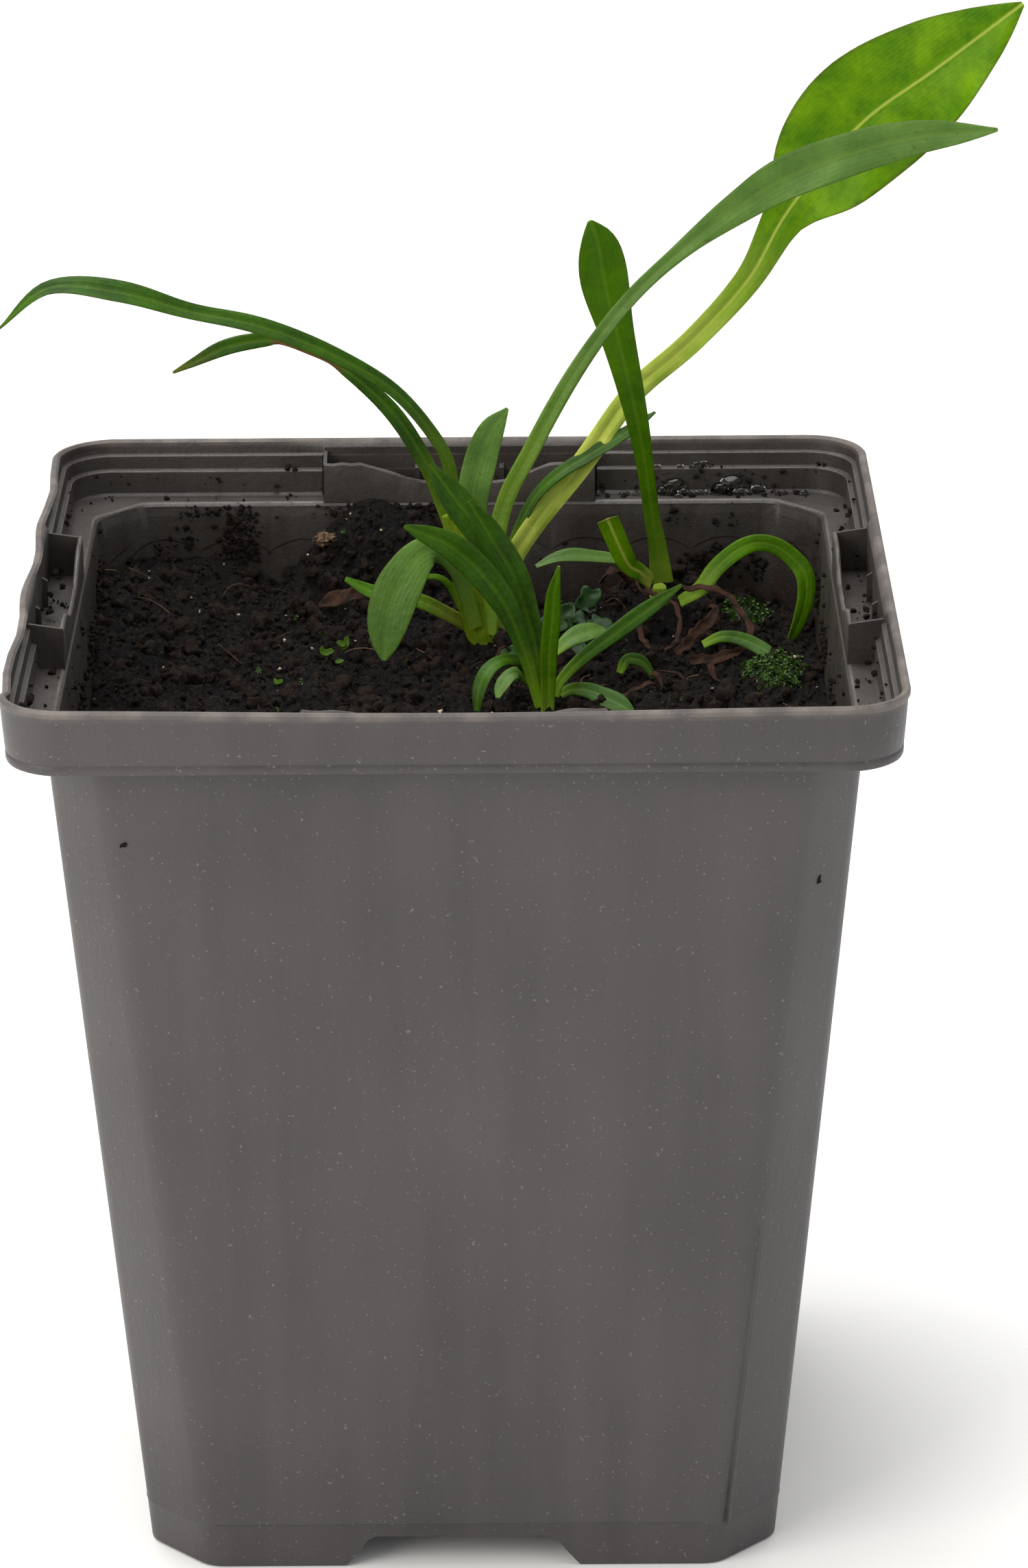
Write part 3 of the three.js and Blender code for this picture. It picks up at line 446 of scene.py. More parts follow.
# Pale weathered bark, soft and fibrous.
def makePaleBark():
    material, tree, shader = newMaterial("weathered bark")
    place = addNode(tree, "ShaderNodeTexCoord").outputs["Object"]
    torn = addNode(
        tree, "ShaderNodeTexNoise", {"Vector": place, "Scale": 1600.0, "Detail": 6.0, "Roughness": 0.7}
    )
    mixed = addNode(tree, "ShaderNodeMapRange", {0: torn, 1: 0.38, 2: 0.62, 3: 0.0, 4: 1.0})
    shade = addNode(
        tree, "ShaderNodeMix", {0: mixed, 6: colour("#24160d"), 7: colour("#8d7050")}, data_type="RGBA"
    )
    tree.links.new(shade.outputs[2], shader.inputs["Base Color"])
    shader.inputs["Roughness"].default_value = 0.85
    bump = addNode(tree, "ShaderNodeBump", {"Height": torn, "Strength": 1.0, "Distance": 0.0006})
    tree.links.new(bump.outputs[0], shader.inputs["Normal"])
    return material


# Clear water drops.
def makeWater():
    material, tree, shader = newMaterial("clear water")
    shader.inputs["Base Color"].default_value = colour("#a8a49e")
    shader.inputs["Roughness"].default_value = 0.02
    shader.inputs["IOR"].default_value = 1.33
    shader.inputs["Transmission Weight"].default_value = 1.0
    return material


potPlastic = makePotPlastic()
peat = makePeat("damp black peat", "#020101", "#140c08", 0.2)
peatCrumb = makePeat("peat crumb", "#030201", "#25180f", 0.2)
leafLooks = {
    "dark": {"blade": "#376002", "dark": "#234402", "stalk": "#6c8e18", "under": "#4c6d26", "veins": 0.05,
             "midrib": 0.2, "glow": 0.22, "dust": 0.3, "sheen": 0.2},
    "light": {"blade": "#578602", "dark": "#3e6a02", "stalk": "#8aa834", "under": "#5e8428", "veins": 0.05,
              "midrib": 0.2, "glow": 0.3, "dust": 0.25, "sheen": 0.2},
    "broad": {"blade": "#78a604", "dark": "#4c7e02", "stalk": "#c6d25c", "under": "#688f30", "veins": 0.03,
              "midrib": 0.75, "glow": 0.34, "dust": 0.1, "sheen": 0.15},
    "dull": {"blade": "#5f8434", "dark": "#4a6e26", "stalk": "#74942a", "under": "#5c8034", "veins": 0.07,
             "midrib": 0.2, "glow": 0.18, "dust": 0.4, "sheen": 0.3},
    "thallus": {"blade": "#26481a", "dark": "#162e0e", "stalk": "#2f5420", "under": "#1a3610", "veins": 0.0,
                "midrib": 0.0, "glow": 0.06, "dust": 0.7, "sheen": 0.2},
    "sheath": {"blade": "#86a01c", "dark": "#5c7c10", "stalk": "#94a23c", "under": "#78902c", "veins": 0.2,
               "midrib": 0.0, "glow": 0.2, "dust": 0.5, "sheen": 0.2},
}
leafSkins = {name: makeLeafSkin(name + " leaf skin", look) for name, look in leafLooks.items()}
withered = makeWithered()
mossGreen = makeMossGreen()
grit = makeGrit()
fibre = makeFibre()
paleBark = makePaleBark()
water = makeWater()
print("materials made")


# ---- Pot ----
pot = {
    "height": 100.0,
    "half": 45.0,
    "wall": 0.9,
    "collarBottom": 93.0,
    "collarDraft": 0.6,
    "collarCorner": 6.5,
    "bodyTop": 40.75,
    "bodyBottom": 33.1,
    "bevelTop": 5.4,
    "bevelBottom": 6.4,
    "bevelEdge": 1.5,
    "ledge": 94.0,
    "ledgeInner": 40.1,
    "pocketHalf": 15.0,
    "tabTop": 98.4,
    "tabDip": 2.1,
    "tabWall": 0.5,
    "finAt": 4.7,
    "floorTop": 4.9,
    "channel": 3.7,
    "channelHalf": 9.8,
    "channelFlare": 2.6,
}


def bodyHalf(z):
    return pot["bodyBottom"] + (pot["bodyTop"] - pot["bodyBottom"]) * z / pot["collarBottom"]


def bodyBevel(z):
    return pot["bevelBottom"] + (pot["bevelTop"] - pot["bevelBottom"]) * z / pot["collarBottom"]


# One side of a ring, from the middle of one corner to the middle of the next, as (along, out) pairs.
def sideRing(half, corner, edge, rounded):
    straight = half - corner - edge
    stops = [-straight + (straight - 15.3) * i / 4 for i in range(4)]
    stops += [-15.3] + [15 * i / 7 for i in range(-7, 8)] + [15.3]
    stops += [15.3 + (straight - 15.3) * (i + 1) / 4 for i in range(4)]
    points = [(s, half) for s in stops]
    for i in range(1, 10):
        if rounded:
            turn = i / 10 * math.pi / 2
            centre = half - corner
            points.append((centre + corner * math.sin(turn), centre + corner * math.cos(turn)))
        else:
            # a straight bevel with a soft edge at each end
            first, last = Vector((half - corner, half)), Vector((half, half - corner))
            line = (last - first).normalized()
            if i <= 4:
                t = i / 4.5
                a, b, c = first - Vector((edge, 0)), first, first + line * edge
            elif i >= 6:
                t = 1 - (10 - i) / 4.5
                a, b, c = last - line * edge, last, last + Vector((0, -edge))
            else:
                t, a, b, c = 0.5, first, (first + last) / 2, last
            points.append(tuple((1 - t) ** 2 * a + 2 * t * (1 - t) * b + t * t * c))
    return points


def potRing(half, z, corner, rounded, edge=0.0, inset=None, bow=0.0):
    ring = []
    for side in range(4):
        turn = Matrix.Rotation(-side * math.pi / 2, 2)
        for s, out in sideRing(half, corner, edge, rounded):
            if inset and abs(s) < 15.1:
                out = inset
            x, y = turn @ Vector((s, out))
            # the front edge sags a little, and the left one is bent in and out near its pocket
            sag = 0.0
            if bow and side == 2:
                sag = -0.45 * bow * math.cos(s / half * math.pi / 2) ** 2
            if bow and side == 3:
                x += bow * (0.3 + 0.28 * math.sin(s * 0.28 + 0.6))
            ring.append(at(x, y, z + sag))
    return ring


def potRings():
    rings = []  # points, inside, lip

    def body(z, inset, inside):
        edge = pot["bevelEdge"]
        bevel = bodyBevel(z) - inset * 0.59
        rings.append((potRing(bodyHalf(z) - inset, z, bevel, False, edge), inside, 0))

    def collar(z, half, inside, lip=0.0, inset=None, bow=0.0):
        corner = pot["collarCorner"] - (pot["half"] - half)
        rings.append((potRing(half, z, corner, True, 0.0, inset, bow), inside, lip))

    for z in (0, 0.25, 2, 4.85, 5.0, 5.15, 20, 40, 60, 75, 85, 91, 92.6, 93.0):
        inset = 0.25 if z == 0 else (-0.06 if z == 5.0 else 0)
        body(z, inset, 0)
    low = pot["half"] - pot["collarDraft"]
    for z, half in (
        (93.02, low - 0.35), (93.15, low - 0.1), (93.4, low), (93.9, low + 0.02), (94.1, low - 0.08),
        (94.35, low + 0.02), (96.5, low + 0.2), (98.6, low + 0.35),
    ):
        collar(z, half, 0)
    top = pot["half"]
    for z, half, lip in (
        (99.1, top - 0.22, 0.3), (99.35, top - 0.02, 0.8), (99.75, top, 1), (100, top - 0.25, 1),
        (100, top - 0.6, 1), (99.75, top - 0.85, 0.8),
    ):
        collar(z, half, 0 if half > top - 0.3 else 0.6, lip, None, 1.0)
    # down the inside: three steps whose edges carry a painted highlight, the ledge, then the wall of the body
    plain = top - pot["wall"] - 0.35
    for z, half, rubbedAndLit in (
        (99.2, top - 0.95, 0), (98.55, top - 1.05, 0), (98.42, top - 1.36, 0), (98.35, top - 1.5, 0.6),
        (98.2, top - 1.51, 0), (96.95, top - 1.6, 0), (96.78, top - 1.96, 0), (96.7, top - 2.1, 0.6),
        (96.55, top - 2.11, 0), (94.3, top - 2.2, 0), (94.0, top - 2.5, 0),
    ):
        collar(z, half, 1, rubbedAndLit, plain)
    # the ledge's front edge carries the same painted highlight
    for reach, drop, rubbedAndLit in ((0.45, 0, 0), (0.2, 0.03, 0.7), (0.02, 0.16, 0)):
        rings.append((potRing(pot["ledgeInner"] + reach, pot["ledge"] - drop, 5.2, False, 1.0), 1, rubbedAndLit))
    for z in (93.6, 91, 84, 60, 30, 8, 4.9):
        body(z, pot["wall"], 1)
    return rings


def solidBetween(rings):  # closes a stack of equal rings, whose marks become attributes
    shape = bmesh.new()
    inside = shape.verts.layers.float.new("inside")
    lip = shape.verts.layers.float.new("lip")
    rows = []
    for ring, isInside, isRubbedAndLitEdge in rings:
        rows.append([shape.verts.new(p) for p in ring])
        for vert in rows[-1]:
            vert[inside] = isInside
            vert[lip] = isRubbedAndLitEdge
    for low, high in zip(rows, rows[1:]):
        for i in range(len(low)):
            j = (i + 1) % len(low)
            shape.faces.new((low[i], low[j], high[j], high[i]))
    shape.faces.new(rows[0])
    shape.faces.new(rows[-1])
    bmesh.ops.recalc_face_normals(shape, faces=shape.faces)
    return shape


def addBlock(shape, corners):  # eight corners, low face first
    verts = [shape.verts.new(at(*c)) for c in corners]
    for face in ((3, 2, 1, 0), (4, 5, 6, 7), (0, 1, 5, 4), (1, 2, 6, 5), (2, 3, 7, 6), (3, 0, 4, 7)):
        shape.faces.new([verts[i] for i in face])


def tabHeight(s):
    share = min(max((11.5 - abs(s)) / 8, 0), 1)
    return pot["tabTop"] - pot["tabDip"] * share * share * (3 - 2 * share)


def addPocket(shape, side):
    lip = shape.verts.layers.float["lip"]
    turn = Matrix.Rotation(-side * math.pi / 2, 2)
    inner, wall, base = pot["ledgeInner"], pot["tabWall"], pot["ledge"] - 0.4

    def spot(s, out, z):
        x, y = turn @ Vector((s, out))
        return (x, y, z)

    rough = random.Random(40 + side)
    count = 30
    rows = []
    for i in range(count + 1):
        s = -15 + 30 * i / count
        z = tabHeight(s) + rough.uniform(-0.08, 0.08)
        lean = rough.uniform(-0.04, 0.04)
        section = (
            (0, base), (0, z - 0.2), (0.15 + lean, z), (wall - 0.15 + lean, z), (wall, z - 0.2), (wall, base),
        )
        rows.append([shape.verts.new(at(*spot(s, inner + out, h))) for out, h in section])
        for vert in rows[-1][1:5]:
            vert[lip] = 0.5
    for a, b in zip(rows, rows[1:]):
        for i in range(6):
            j = (i + 1) % 6
            shape.faces.new((a[i], a[j], b[j], b[i]))
    shape.faces.new(rows[0])
    shape.faces.new(rows[-1])
    # a thin end plate at each end, its top sloping in, and low fins on the collar
    outer = pot["half"] - 0.8
    blocks = [(end - 0.2, end + 0.2, inner + 0.1, outer, 98.3, 98.9) for end in (-14.9, 14.9)]
    fins = (-pot["finAt"], pot["finAt"])
    blocks += [(fin - 0.25, fin + 0.25, outer - 1.0, outer, 96.9, 97.5) for fin in fins]
    for s0, s1, y0, y1, topIn, topOut in blocks:
        low = [spot(s0, y0, base), spot(s1, y0, base), spot(s1, y1, base), spot(s0, y1, base)]
        tops = (topIn, topIn, topOut, topOut)
        addBlock(shape, low + [(x, y, top) for (x, y, _), top in zip(low, tops)])


# A tapered ridge along a line, like the flash that a mould leaves at its joint.
def addRidge(shape, start, end, thin, thick, seed):
    rough = random.Random(seed)
    start, end = Vector(start), Vector(end)
    along = (end - start).normalized()
    side = along.cross(Vector((0, 1, 0))).normalized()
    out = side.cross(along)
    rows = []
    for i in range(41):
        share = i / 40
        radius = (thin + (thick - thin) * share**3) * rough.uniform(0.7, 1.25)
        centre = start.lerp(end, share)
        section = [(math.cos(a), math.sin(a)) for a in (math.pi / 3 * k for k in range(6))]
        spots = [centre + side * radius * c + out * radius * d for c, d in section]
        rows.append([shape.verts.new(at(*spot)) for spot in spots])
    for a, b in zip(rows, rows[1:]):
        for i in range(6):
            j = (i + 1) % 6
            shape.faces.new((a[i], a[j], b[j], b[i]))
    shape.faces.new(rows[0])
    shape.faces.new(rows[-1])


def cutAway(target, cutters):
    for cutter in cutters:
        modifier = target.modifiers.new("cut", "BOOLEAN")
        modifier.operation = "DIFFERENCE"
        modifier.solver = "EXACT"
        modifier.object = cutter
    graph = bpy.context.evaluated_depsgraph_get()
    result = bpy.data.meshes.new_from_object(target.evaluated_get(graph))
    for thing in [target, *cutters]:
        bpy.data.objects.remove(thing)
    return result


def looseObject(name, shape):
    mesh = bpy.data.meshes.new(name)
    shape.to_mesh(mesh)
    shape.free()
    thing = bpy.data.objects.new(name, mesh)
    bpy.context.scene.collection.objects.link(thing)
    return thing


def channelCutter(turned):
    shape = bmesh.new()
    top, flare, high = pot["channelHalf"], pot["channelFlare"], pot["channel"]
    arch = [(-top - flare - 1, -1.4), (-top - flare, 0), (-top - 0.9, high - 1.6), (-top - 0.2, high - 0.5)]
    arch += [(-top + 0.7, high), (0, high)]
    arch += [(-x, z) for x, z in reversed(arch[:-1])]
    rows = [[shape.verts.new(at(*((y, x, z) if turned else (x, y, z)))) for x, z in arch] for y in (-50, 50)]
    for i in range(len(arch)):
        j = (i + 1) % len(arch)
        shape.faces.new((rows[0][i], rows[0][j], rows[1][j], rows[1][i]))
    shape.faces.new(rows[0])
    shape.faces.new(rows[1])
    bmesh.ops.recalc_face_normals(shape, faces=shape.faces)
    return looseObject("channelCutter", shape)


def drainCutter(x, y, radius):
    shape = bmesh.new()
    centre = Matrix.Translation(at(x, y, 4.5))
    bmesh.ops.create_cone(
        shape, cap_ends=True, segments=32, radius1=radius * mm, radius2=radius * mm, depth=4 * mm,
        matrix=centre,
    )
    return looseObject("drainCutter", shape)


def makePotPiece():
    target = looseObject("potBlank", solidBetween(potRings()))
    cutters = [channelCutter(False), channelCutter(True), drainCutter(0, 0, 5)]
    cutters += [drainCutter(x, y, 3.5) for x, y in ((21, 0), (-21, 0), (0, 21), (0, -21))]
    mesh = cutAway(target, cutters)

    shape = bmesh.new()
    shape.from_mesh(mesh)
    first = len(shape.verts)
    for side in range(4):
        addPocket(shape, side)
    shape.verts.ensure_lookup_table()
    inside = shape.verts.layers.float["inside"]
    for vert in shape.verts[first:]:
        vert[inside] = 1
    front = -bodyHalf(5.1)
    addRidge(shape, (-26, front - 0.02, 5.1), (25, front - 0.02, 5.1), 0.07, 0.09, 3)
    lineTop, lineLow = 40.0, 4.8
    start, end = (
        (bodyHalf(z) - bodyBevel(z) + 0.7, -bodyHalf(z) + 0.2, z) for z in (lineTop, lineLow)
    )
    addRidge(shape, start, end, 0.05, 0.24, 9)
    bmesh.ops.recalc_face_normals(shape, faces=shape.faces)
    shape.to_mesh(mesh)
    shape.free()
    mesh.shade_smooth()
    mesh.set_sharp_from_angle(angle=math.radians(32))
    return newPiece("squarePot", mesh, potPlastic, "pot_plastic", "pot")


makePotPiece()
print("pot made")


# ---- Soil ----
soil = {
    "cells": 230,
    "relief": 1.3,
    "crumbLump": 0.8,
    # a heap pressed up against the back wall: middle, half width, half depth, height
    "heap": (-8.0, 38.5, 7.4, 3.2, 2.8),
}


def surfaceOf(mesh):
    return BVHTree.FromPolygons([v.co for v in mesh.vertices], [tuple(p.vertices) for p in mesh.polygons])


bed = surfaceOf(frame["nodes"]["potting_soil"].data)


def bedHeight(x, y):  # millimetres above the foot, over the narrow gaps around the stems
    best = 60.0
    for dx, dy in ((0, 0), (1.2, 0), (-1.2, 0), (0, 1.2), (0, -1.2)):
        spot = at(x + dx, y + dy, 130)
        hit = bed.ray_cast(spot, Vector((0, 0, -1)))[0]
        if hit:
            best = max(best, (hit.z - potAxis.z) / mm)
    return best


def soilRelief(x, y, z):
    p = Vector((x, y, z))
    broad = noise.noise(p * 0.22) * 1.1
    lumps = noise.voronoi(p * 0.55)[0][0]
    crumbs = noise.voronoi(p * 1.3 + Vector((7, 3, 1)))[0][0]
    fine = noise.multi_fractal(p * 1.9, 0.9, 2.1, 4)
    coarse = soil["relief"] * (broad + 0.9 * (0.5 - lumps))
    return coarse + soil["crumbLump"] * (0.9 * (0.45 - crumbs) + 0.45 * fine)


def insideBevels(x, y, z, reach):  # pulls a point in from the pot's bevelled corners
    over = max(0, abs(x) + abs(y) - (2 * reach - bodyBevel(z) + 0.45))
    return x - math.copysign(over / 2, x), y - math.copysign(over / 2, y)


def makeSoilPiece():
    count = soil["cells"]
    shape = bmesh.new()
    top = shape.verts.layers.float.new("crumbly")
    tone = shape.verts.layers.float.new("tone")
    grid = []
    for j in range(count + 1):
        row = []
        for i in range(count + 1):
            u, v = 2 * i / count - 1, 2 * j / count - 1
            reach = bodyHalf(85) - pot["wall"] - 0.1
            x, y = u * reach, v * reach
            z = bedHeight(x * 0.97, y * 0.97)
            reach = bodyHalf(z) - pot["wall"] - 0.06
            x, y = u * reach, v * reach
            x, y = insideBevels(x, y, z, reach)
            edge = min(1, (1 - max(abs(u), abs(v))) * 14)
            rise = soilRelief(x, y, z)
            heapX, heapY, wide, deep, high = soil["heap"]
            heaped = high * math.exp(-(((x - heapX) / wide) ** 4) - ((y - heapY) / deep) ** 2)
            z += rise * (0.35 + 0.65 * edge) + heaped
            vert = shape.verts.new(at(x, y, z))
            vert[top] = 1
            # painted shade and highlight: the soil is darker in the hollows of its relief and lighter on its
            # rises
            vert[tone] = min(1, max(0, 0.35 + 0.45 * rise))
            row.append(vert)
        grid.append(row)
    for low, high in zip(grid, grid[1:]):
        for i in range(count):
            shape.faces.new((low[i], low[i + 1], high[i + 1], high[i]))
    rim = grid[0][:-1] + [row[-1] for row in grid[:-1]] + grid[-1][:0:-1] + [row[0] for row in grid[:0:-1]]
    floor = pot["floorTop"] + 0.3
    reach = bodyHalf(floor) - pot["wall"] - 0.25
    below = []
    for vert in rim:
        place = (vert.co - potAxis) / mm
        shrink = reach / (bodyHalf(place.z) - pot["wall"])
        x, y = insideBevels(place.x * shrink, place.y * shrink, floor, reach)
        below.append(shape.verts.new(at(x, y, floor)))
    for i in range(len(rim)):
        j = (i + 1) % len(rim)
        shape.faces.new((rim[i], below[i], below[j], rim[j]))
    shape.faces.new(below)
    bmesh.ops.recalc_face_normals(shape, faces=shape.faces)
    mesh = bpy.data.meshes.new("soil")
    shape.to_mesh(mesh)
    shape.free()
    mesh.shade_smooth()
    return newPiece("pottingSoil", mesh, peat, "peat", "potting_soil")


soilMesh = makeSoilPiece().data
soilTop = surfaceOf(soilMesh)


def topFaces(mesh):  # only the faces whose corners are all crumbly, for what is strewn
    shape = bmesh.new()
    shape.from_mesh(mesh)
    crumbly = shape.verts.layers.float["crumbly"]
    walls = [face for face in shape.faces if min(vert[crumbly] for vert in face.verts) < 0.01]
    bmesh.ops.delete(shape, geom=walls, context="FACES")
    bed = bpy.data.meshes.new("soilBed")
    shape.to_mesh(bed)
    shape.free()
    return bed


soilBed = topFaces(soilMesh)
print("soil made")


def soilAt(x, y):
    hit = soilTop.ray_cast(at(x, y, 130), Vector((0, 0, -1)))[0]
    return (hit.z - potAxis.z) / mm if hit else 84.0


# ---- Things strewn over a surface ----
def giveInputs(tree, sockets):
    for name, kind, value in sockets:
        socket = tree.interface.new_socket(name, in_out="INPUT", socket_type=kind)
        if value is not None:
            socket.default_value = value
    tree.interface.new_socket("Geometry", in_out="OUTPUT", socket_type="NodeSocketGeometry")
    return addNode(tree, "NodeGroupInput").outputs, addNode(tree, "NodeGroupOutput")


def makeStrewTree():
    tree = bpy.data.node_groups.new("strewOnSurface", "GeometryNodeTree")
    given, result = giveInputs(
        tree,
        (
            ("Geometry", "NodeSocketGeometry", None),
            ("Where", "NodeSocketString", "crumbly"),
            ("Per Square Metre", "NodeSocketFloat", 1000.0),
            ("Seed", "NodeSocketInt", 1),
            ("Smallest", "NodeSocketFloat", 0.5),
            ("Largest", "NodeSocketFloat", 1.5),
            ("Tilt", "NodeSocketFloat", 3.14),
            ("Lift", "NodeSocketFloat", 0.0),
            ("Bits", "NodeSocketCollection", None),
            ("Material", "NodeSocketMaterial", None),
        ),
    )
    where = addNode(tree, "GeometryNodeInputNamedAttribute", {"Name": given["Where"]}, data_type="FLOAT")
    density = addNode(tree, "ShaderNodeMath", {0: where, 1: given["Per Square Metre"]}, operation="MULTIPLY")
    spread = addNode(
        tree, "GeometryNodeDistributePointsOnFaces",
        {"Mesh": given["Geometry"], "Density": density, "Seed": given["Seed"]},
    )
    lift = addNode(
        tree, "ShaderNodeVectorMath", {0: spread.outputs["Normal"], "Scale": given["Lift"]}, operation="SCALE"
    )
    raised = addNode(tree, "GeometryNodeSetPosition", {"Geometry": spread.outputs["Points"], "Offset": lift})
    bits = addNode(
        tree, "GeometryNodeCollectionInfo",
        {"Collection": given["Bits"], "Separate Children": True, "Reset Children": True},
    )
    # small bits are commoner than large ones
    chance = addNode(tree, "FunctionNodeRandomValue", {"Seed": given["Seed"]}, data_type="FLOAT")
    chance = addNode(tree, "ShaderNodeMath", {0: chance.outputs[1], 1: 2.2}, operation="POWER")
    size = addNode(tree, "ShaderNodeMapRange", {0: chance, 3: given["Smallest"], 4: given["Largest"]})
    placed = addNode(
        tree, "GeometryNodeInstanceOnPoints",
        {"Points": raised, "Instance": bits, "Pick Instance": True, "Rotation": spread.outputs["Rotation"],
         "Scale": size},
    )
    least = addNode(tree, "ShaderNodeMath", {0: given["Tilt"], 1: -1.0}, operation="MULTIPLY")
    least = addNode(tree, "ShaderNodeCombineXYZ", {0: least, 1: least, 2: 0.0})
    most = addNode(tree, "ShaderNodeCombineXYZ", {0: given["Tilt"], 1: given["Tilt"], 2: 2 * math.pi})
    turn = addNode(
        tree, "FunctionNodeRandomValue", {0: least, 1: most, "Seed": given["Seed"]}, data_type="FLOAT_VECTOR"
    )
    turned = addNode(tree, "GeometryNodeRotateInstances", {"Instances": placed, "Rotation": turn})
    tone = addNode(tree, "FunctionNodeRandomValue", {"Seed": given["Seed"]}, data_type="FLOAT")
    toned = addNode(
        tree, "GeometryNodeStoreNamedAttribute",
        {"Geometry": turned, "Name": "tone", "Value": tone.outputs[1]},
        data_type="FLOAT", domain="INSTANCE",
    )
    real = addNode(tree, "GeometryNodeRealizeInstances", {"Geometry": toned})
    finished = addNode(tree, "GeometryNodeSetMaterial", {"Geometry": real, "Material": given["Material"]})
    tree.links.new(finished.outputs[0], result.inputs[0])
    return tree


# Runs a tree on a mesh with the named values, and returns the result as a plain mesh.
def runTree(tree, mesh, values):
    helper = bpy.data.objects.new("helper", mesh)
    bpy.context.scene.collection.objects.link(helper)
    modifier = helper.modifiers.new("nodes", "NODES")
    modifier.node_group = tree
    for socket in tree.interface.items_tree:
        if socket.in_out == "INPUT" and socket.name in values:
            modifier[socket.identifier] = values[socket.name]
    graph = bpy.context.evaluated_depsgraph_get()
    result = bpy.data.meshes.new_from_object(helper.evaluated_get(graph))
    bpy.data.objects.remove(helper)
    return result


strewTree = makeStrewTree()


def bitCollection(name, shapes):
    collection = bpy.data.collections.new(name)
    bpy.context.scene.collection.children.link(collection)
    for number, shape in enumerate(shapes):
        mesh = bpy.data.meshes.new(name)
        shape.to_mesh(mesh)
        shape.free()
        collection.objects.link(bpy.data.objects.new(f"{name}{number}", mesh))
    return collection


def dropCollection(collection):
    for thing in list(collection.objects):
        bpy.data.objects.remove(thing)
    bpy.data.collections.remove(collection)


def crumbShape(seed, detail, flat=1.0):  # a ragged lump about 1 mm across
    shape = bmesh.new()
    bmesh.ops.create_icosphere(shape, subdivisions=detail, radius=0.5 * mm)
    for vert in shape.verts:
        way = vert.co.normalized()
        swell = 1 + 0.7 * noise.noise(way * 1.6 + Vector((seed * 3.1, 0, 0)))
        swell += 0.7 * noise.noise(way * 4.5 + Vector((0, seed, 0)))
        vert.co = Vector((vert.co.x, vert.co.y * 0.8, vert.co.z * flat)) * swell
    return shape


def fibreShape(seed):  # a bent hair 5 mm long
    rough = random.Random(seed)
    shape = bmesh.new()
    heading, place = rough.uniform(-0.4, 0.4), Vector((-2.5, 0, 0.1))
    bend, rise = rough.uniform(-0.35, 0.35), rough.uniform(-0.05, 0.2)
    rows = []
    for i in range(8):
        radius = 0.055 * (1 - 0.08 * i)
        across = Vector((-math.sin(heading), math.cos(heading), 0))
        ends = [place + across * radius, place + Vector((0, 0, radius * 1.6)), place - across * radius]
        rows.append([shape.verts.new(p * mm) for p in ends])
        place = place + Vector((math.cos(heading), math.sin(heading), rise * math.sin(i * 0.9))) * 0.7
        heading += bend + rough.uniform(-0.2, 0.2)
    for a, b in zip(rows, rows[1:]):
        for i in range(3):
            shape.faces.new((a[i], a[(i + 1) % 3], b[(i + 1) % 3], b[i]))
    shape.faces.new(rows[0])
    shape.faces.new(rows[-1])
    bmesh.ops.recalc_face_normals(shape, faces=shape.faces)
    return shape


strewn = {
    # surface mask, number per square metre, sizes in millimetres
    "largeCrumbs": ("crumbly", 230000, 0.6, 2.2),
    "smallCrumbs": ("crumbly", 1050000, 0.25, 0.9),
    "gritGrains": ("crumbly", 22000, 0.12, 0.6),
    "fibres": ("crumbly", 9000, 0.5, 1.5),
    "greenSpecks": ("crumbly", 14000, 0.3, 1.0),
    "stuckCrumbs": ("dirty", 6500000, 0.2, 0.95),
}
# Soil stuck to each side's inner wall: along the side, height, half width, half height, thickness. Side 0 is
# the back, 1 the right, 2 the front and 3 the left.
smears = {
    0: [
        (-24.2, 91.3, 1.7, 3.2, 1.0), (-24.6, 88.2, 2.2, 3.0, 0.9), (-30.0, 93.0, 1.2, 0.9, 1.0),
        (-27.5, 93.2, 1.3, 0.5, 0.8), (-30.4, 90.3, 1.3, 1.3, 0.8), (-36.5, 88.4, 3.6, 1.2, 0.6),
        (-8.0, 93.2, 6.6, 1.0, 1.0), (24.0, 92.1, 1.2, 0.8, 0.5), (30.0, 91.6, 1.4, 0.9, 0.5),
        (28.5, 87.4, 0.6, 1.9, 0.9), (27.0, 86.3, 4.0, 1.2, 0.9), (34.0, 86.0, 2.5, 1.2, 0.6),
    ],
    1: [(-28, 87, 3.5, 1.5, 0.6), (-12, 86.5, 4, 1.2, 0.5), (6, 86.2, 5, 1.0, 0.5), (22, 86, 5, 1.2, 0.5)],
    2: [(-20, 86, 8, 1.5, 0.5), (15, 86, 9, 1.3, 0.5)],
    3: [(28, 88.5, 5, 1.6, 0.8), (12, 87, 5, 1.8, 0.6), (-8, 86.5, 6, 1.4, 0.5), (-26, 86, 5, 1.4, 0.5)],
}


def smeared(side, s, z):
    ragged = 0.75 + 0.9 * noise.noise(Vector((s * 0.9, z * 0.9, side * 7.0)))
    thick = 0.0
    for place, height, wide, tall, most in smears[side]:
        reach = ((s - place) / wide) ** 2 + ((z - height) / tall) ** 2
        thick = max(thick, most * math.exp(-reach * reach))
    return min(1, max(0, thick * ragged * 1.6)) + 0.006


def dusted(side, s, z):  # the ledge and the steps: thin, with thicker drifts, most in the back right corner
    drift = noise.noise(Vector((s * 0.35, side * 5.0, z)))
    drift += 0.5 * noise.noise(Vector((s * 1.4, z, side * 3.0)))
    corner = math.exp(-(((s - 30) / 12) ** 2)) if side == 0 else 0
    return min(1, max(0, 0.3 * drift - 0.03)) + 0.012 + 0.09 * corner


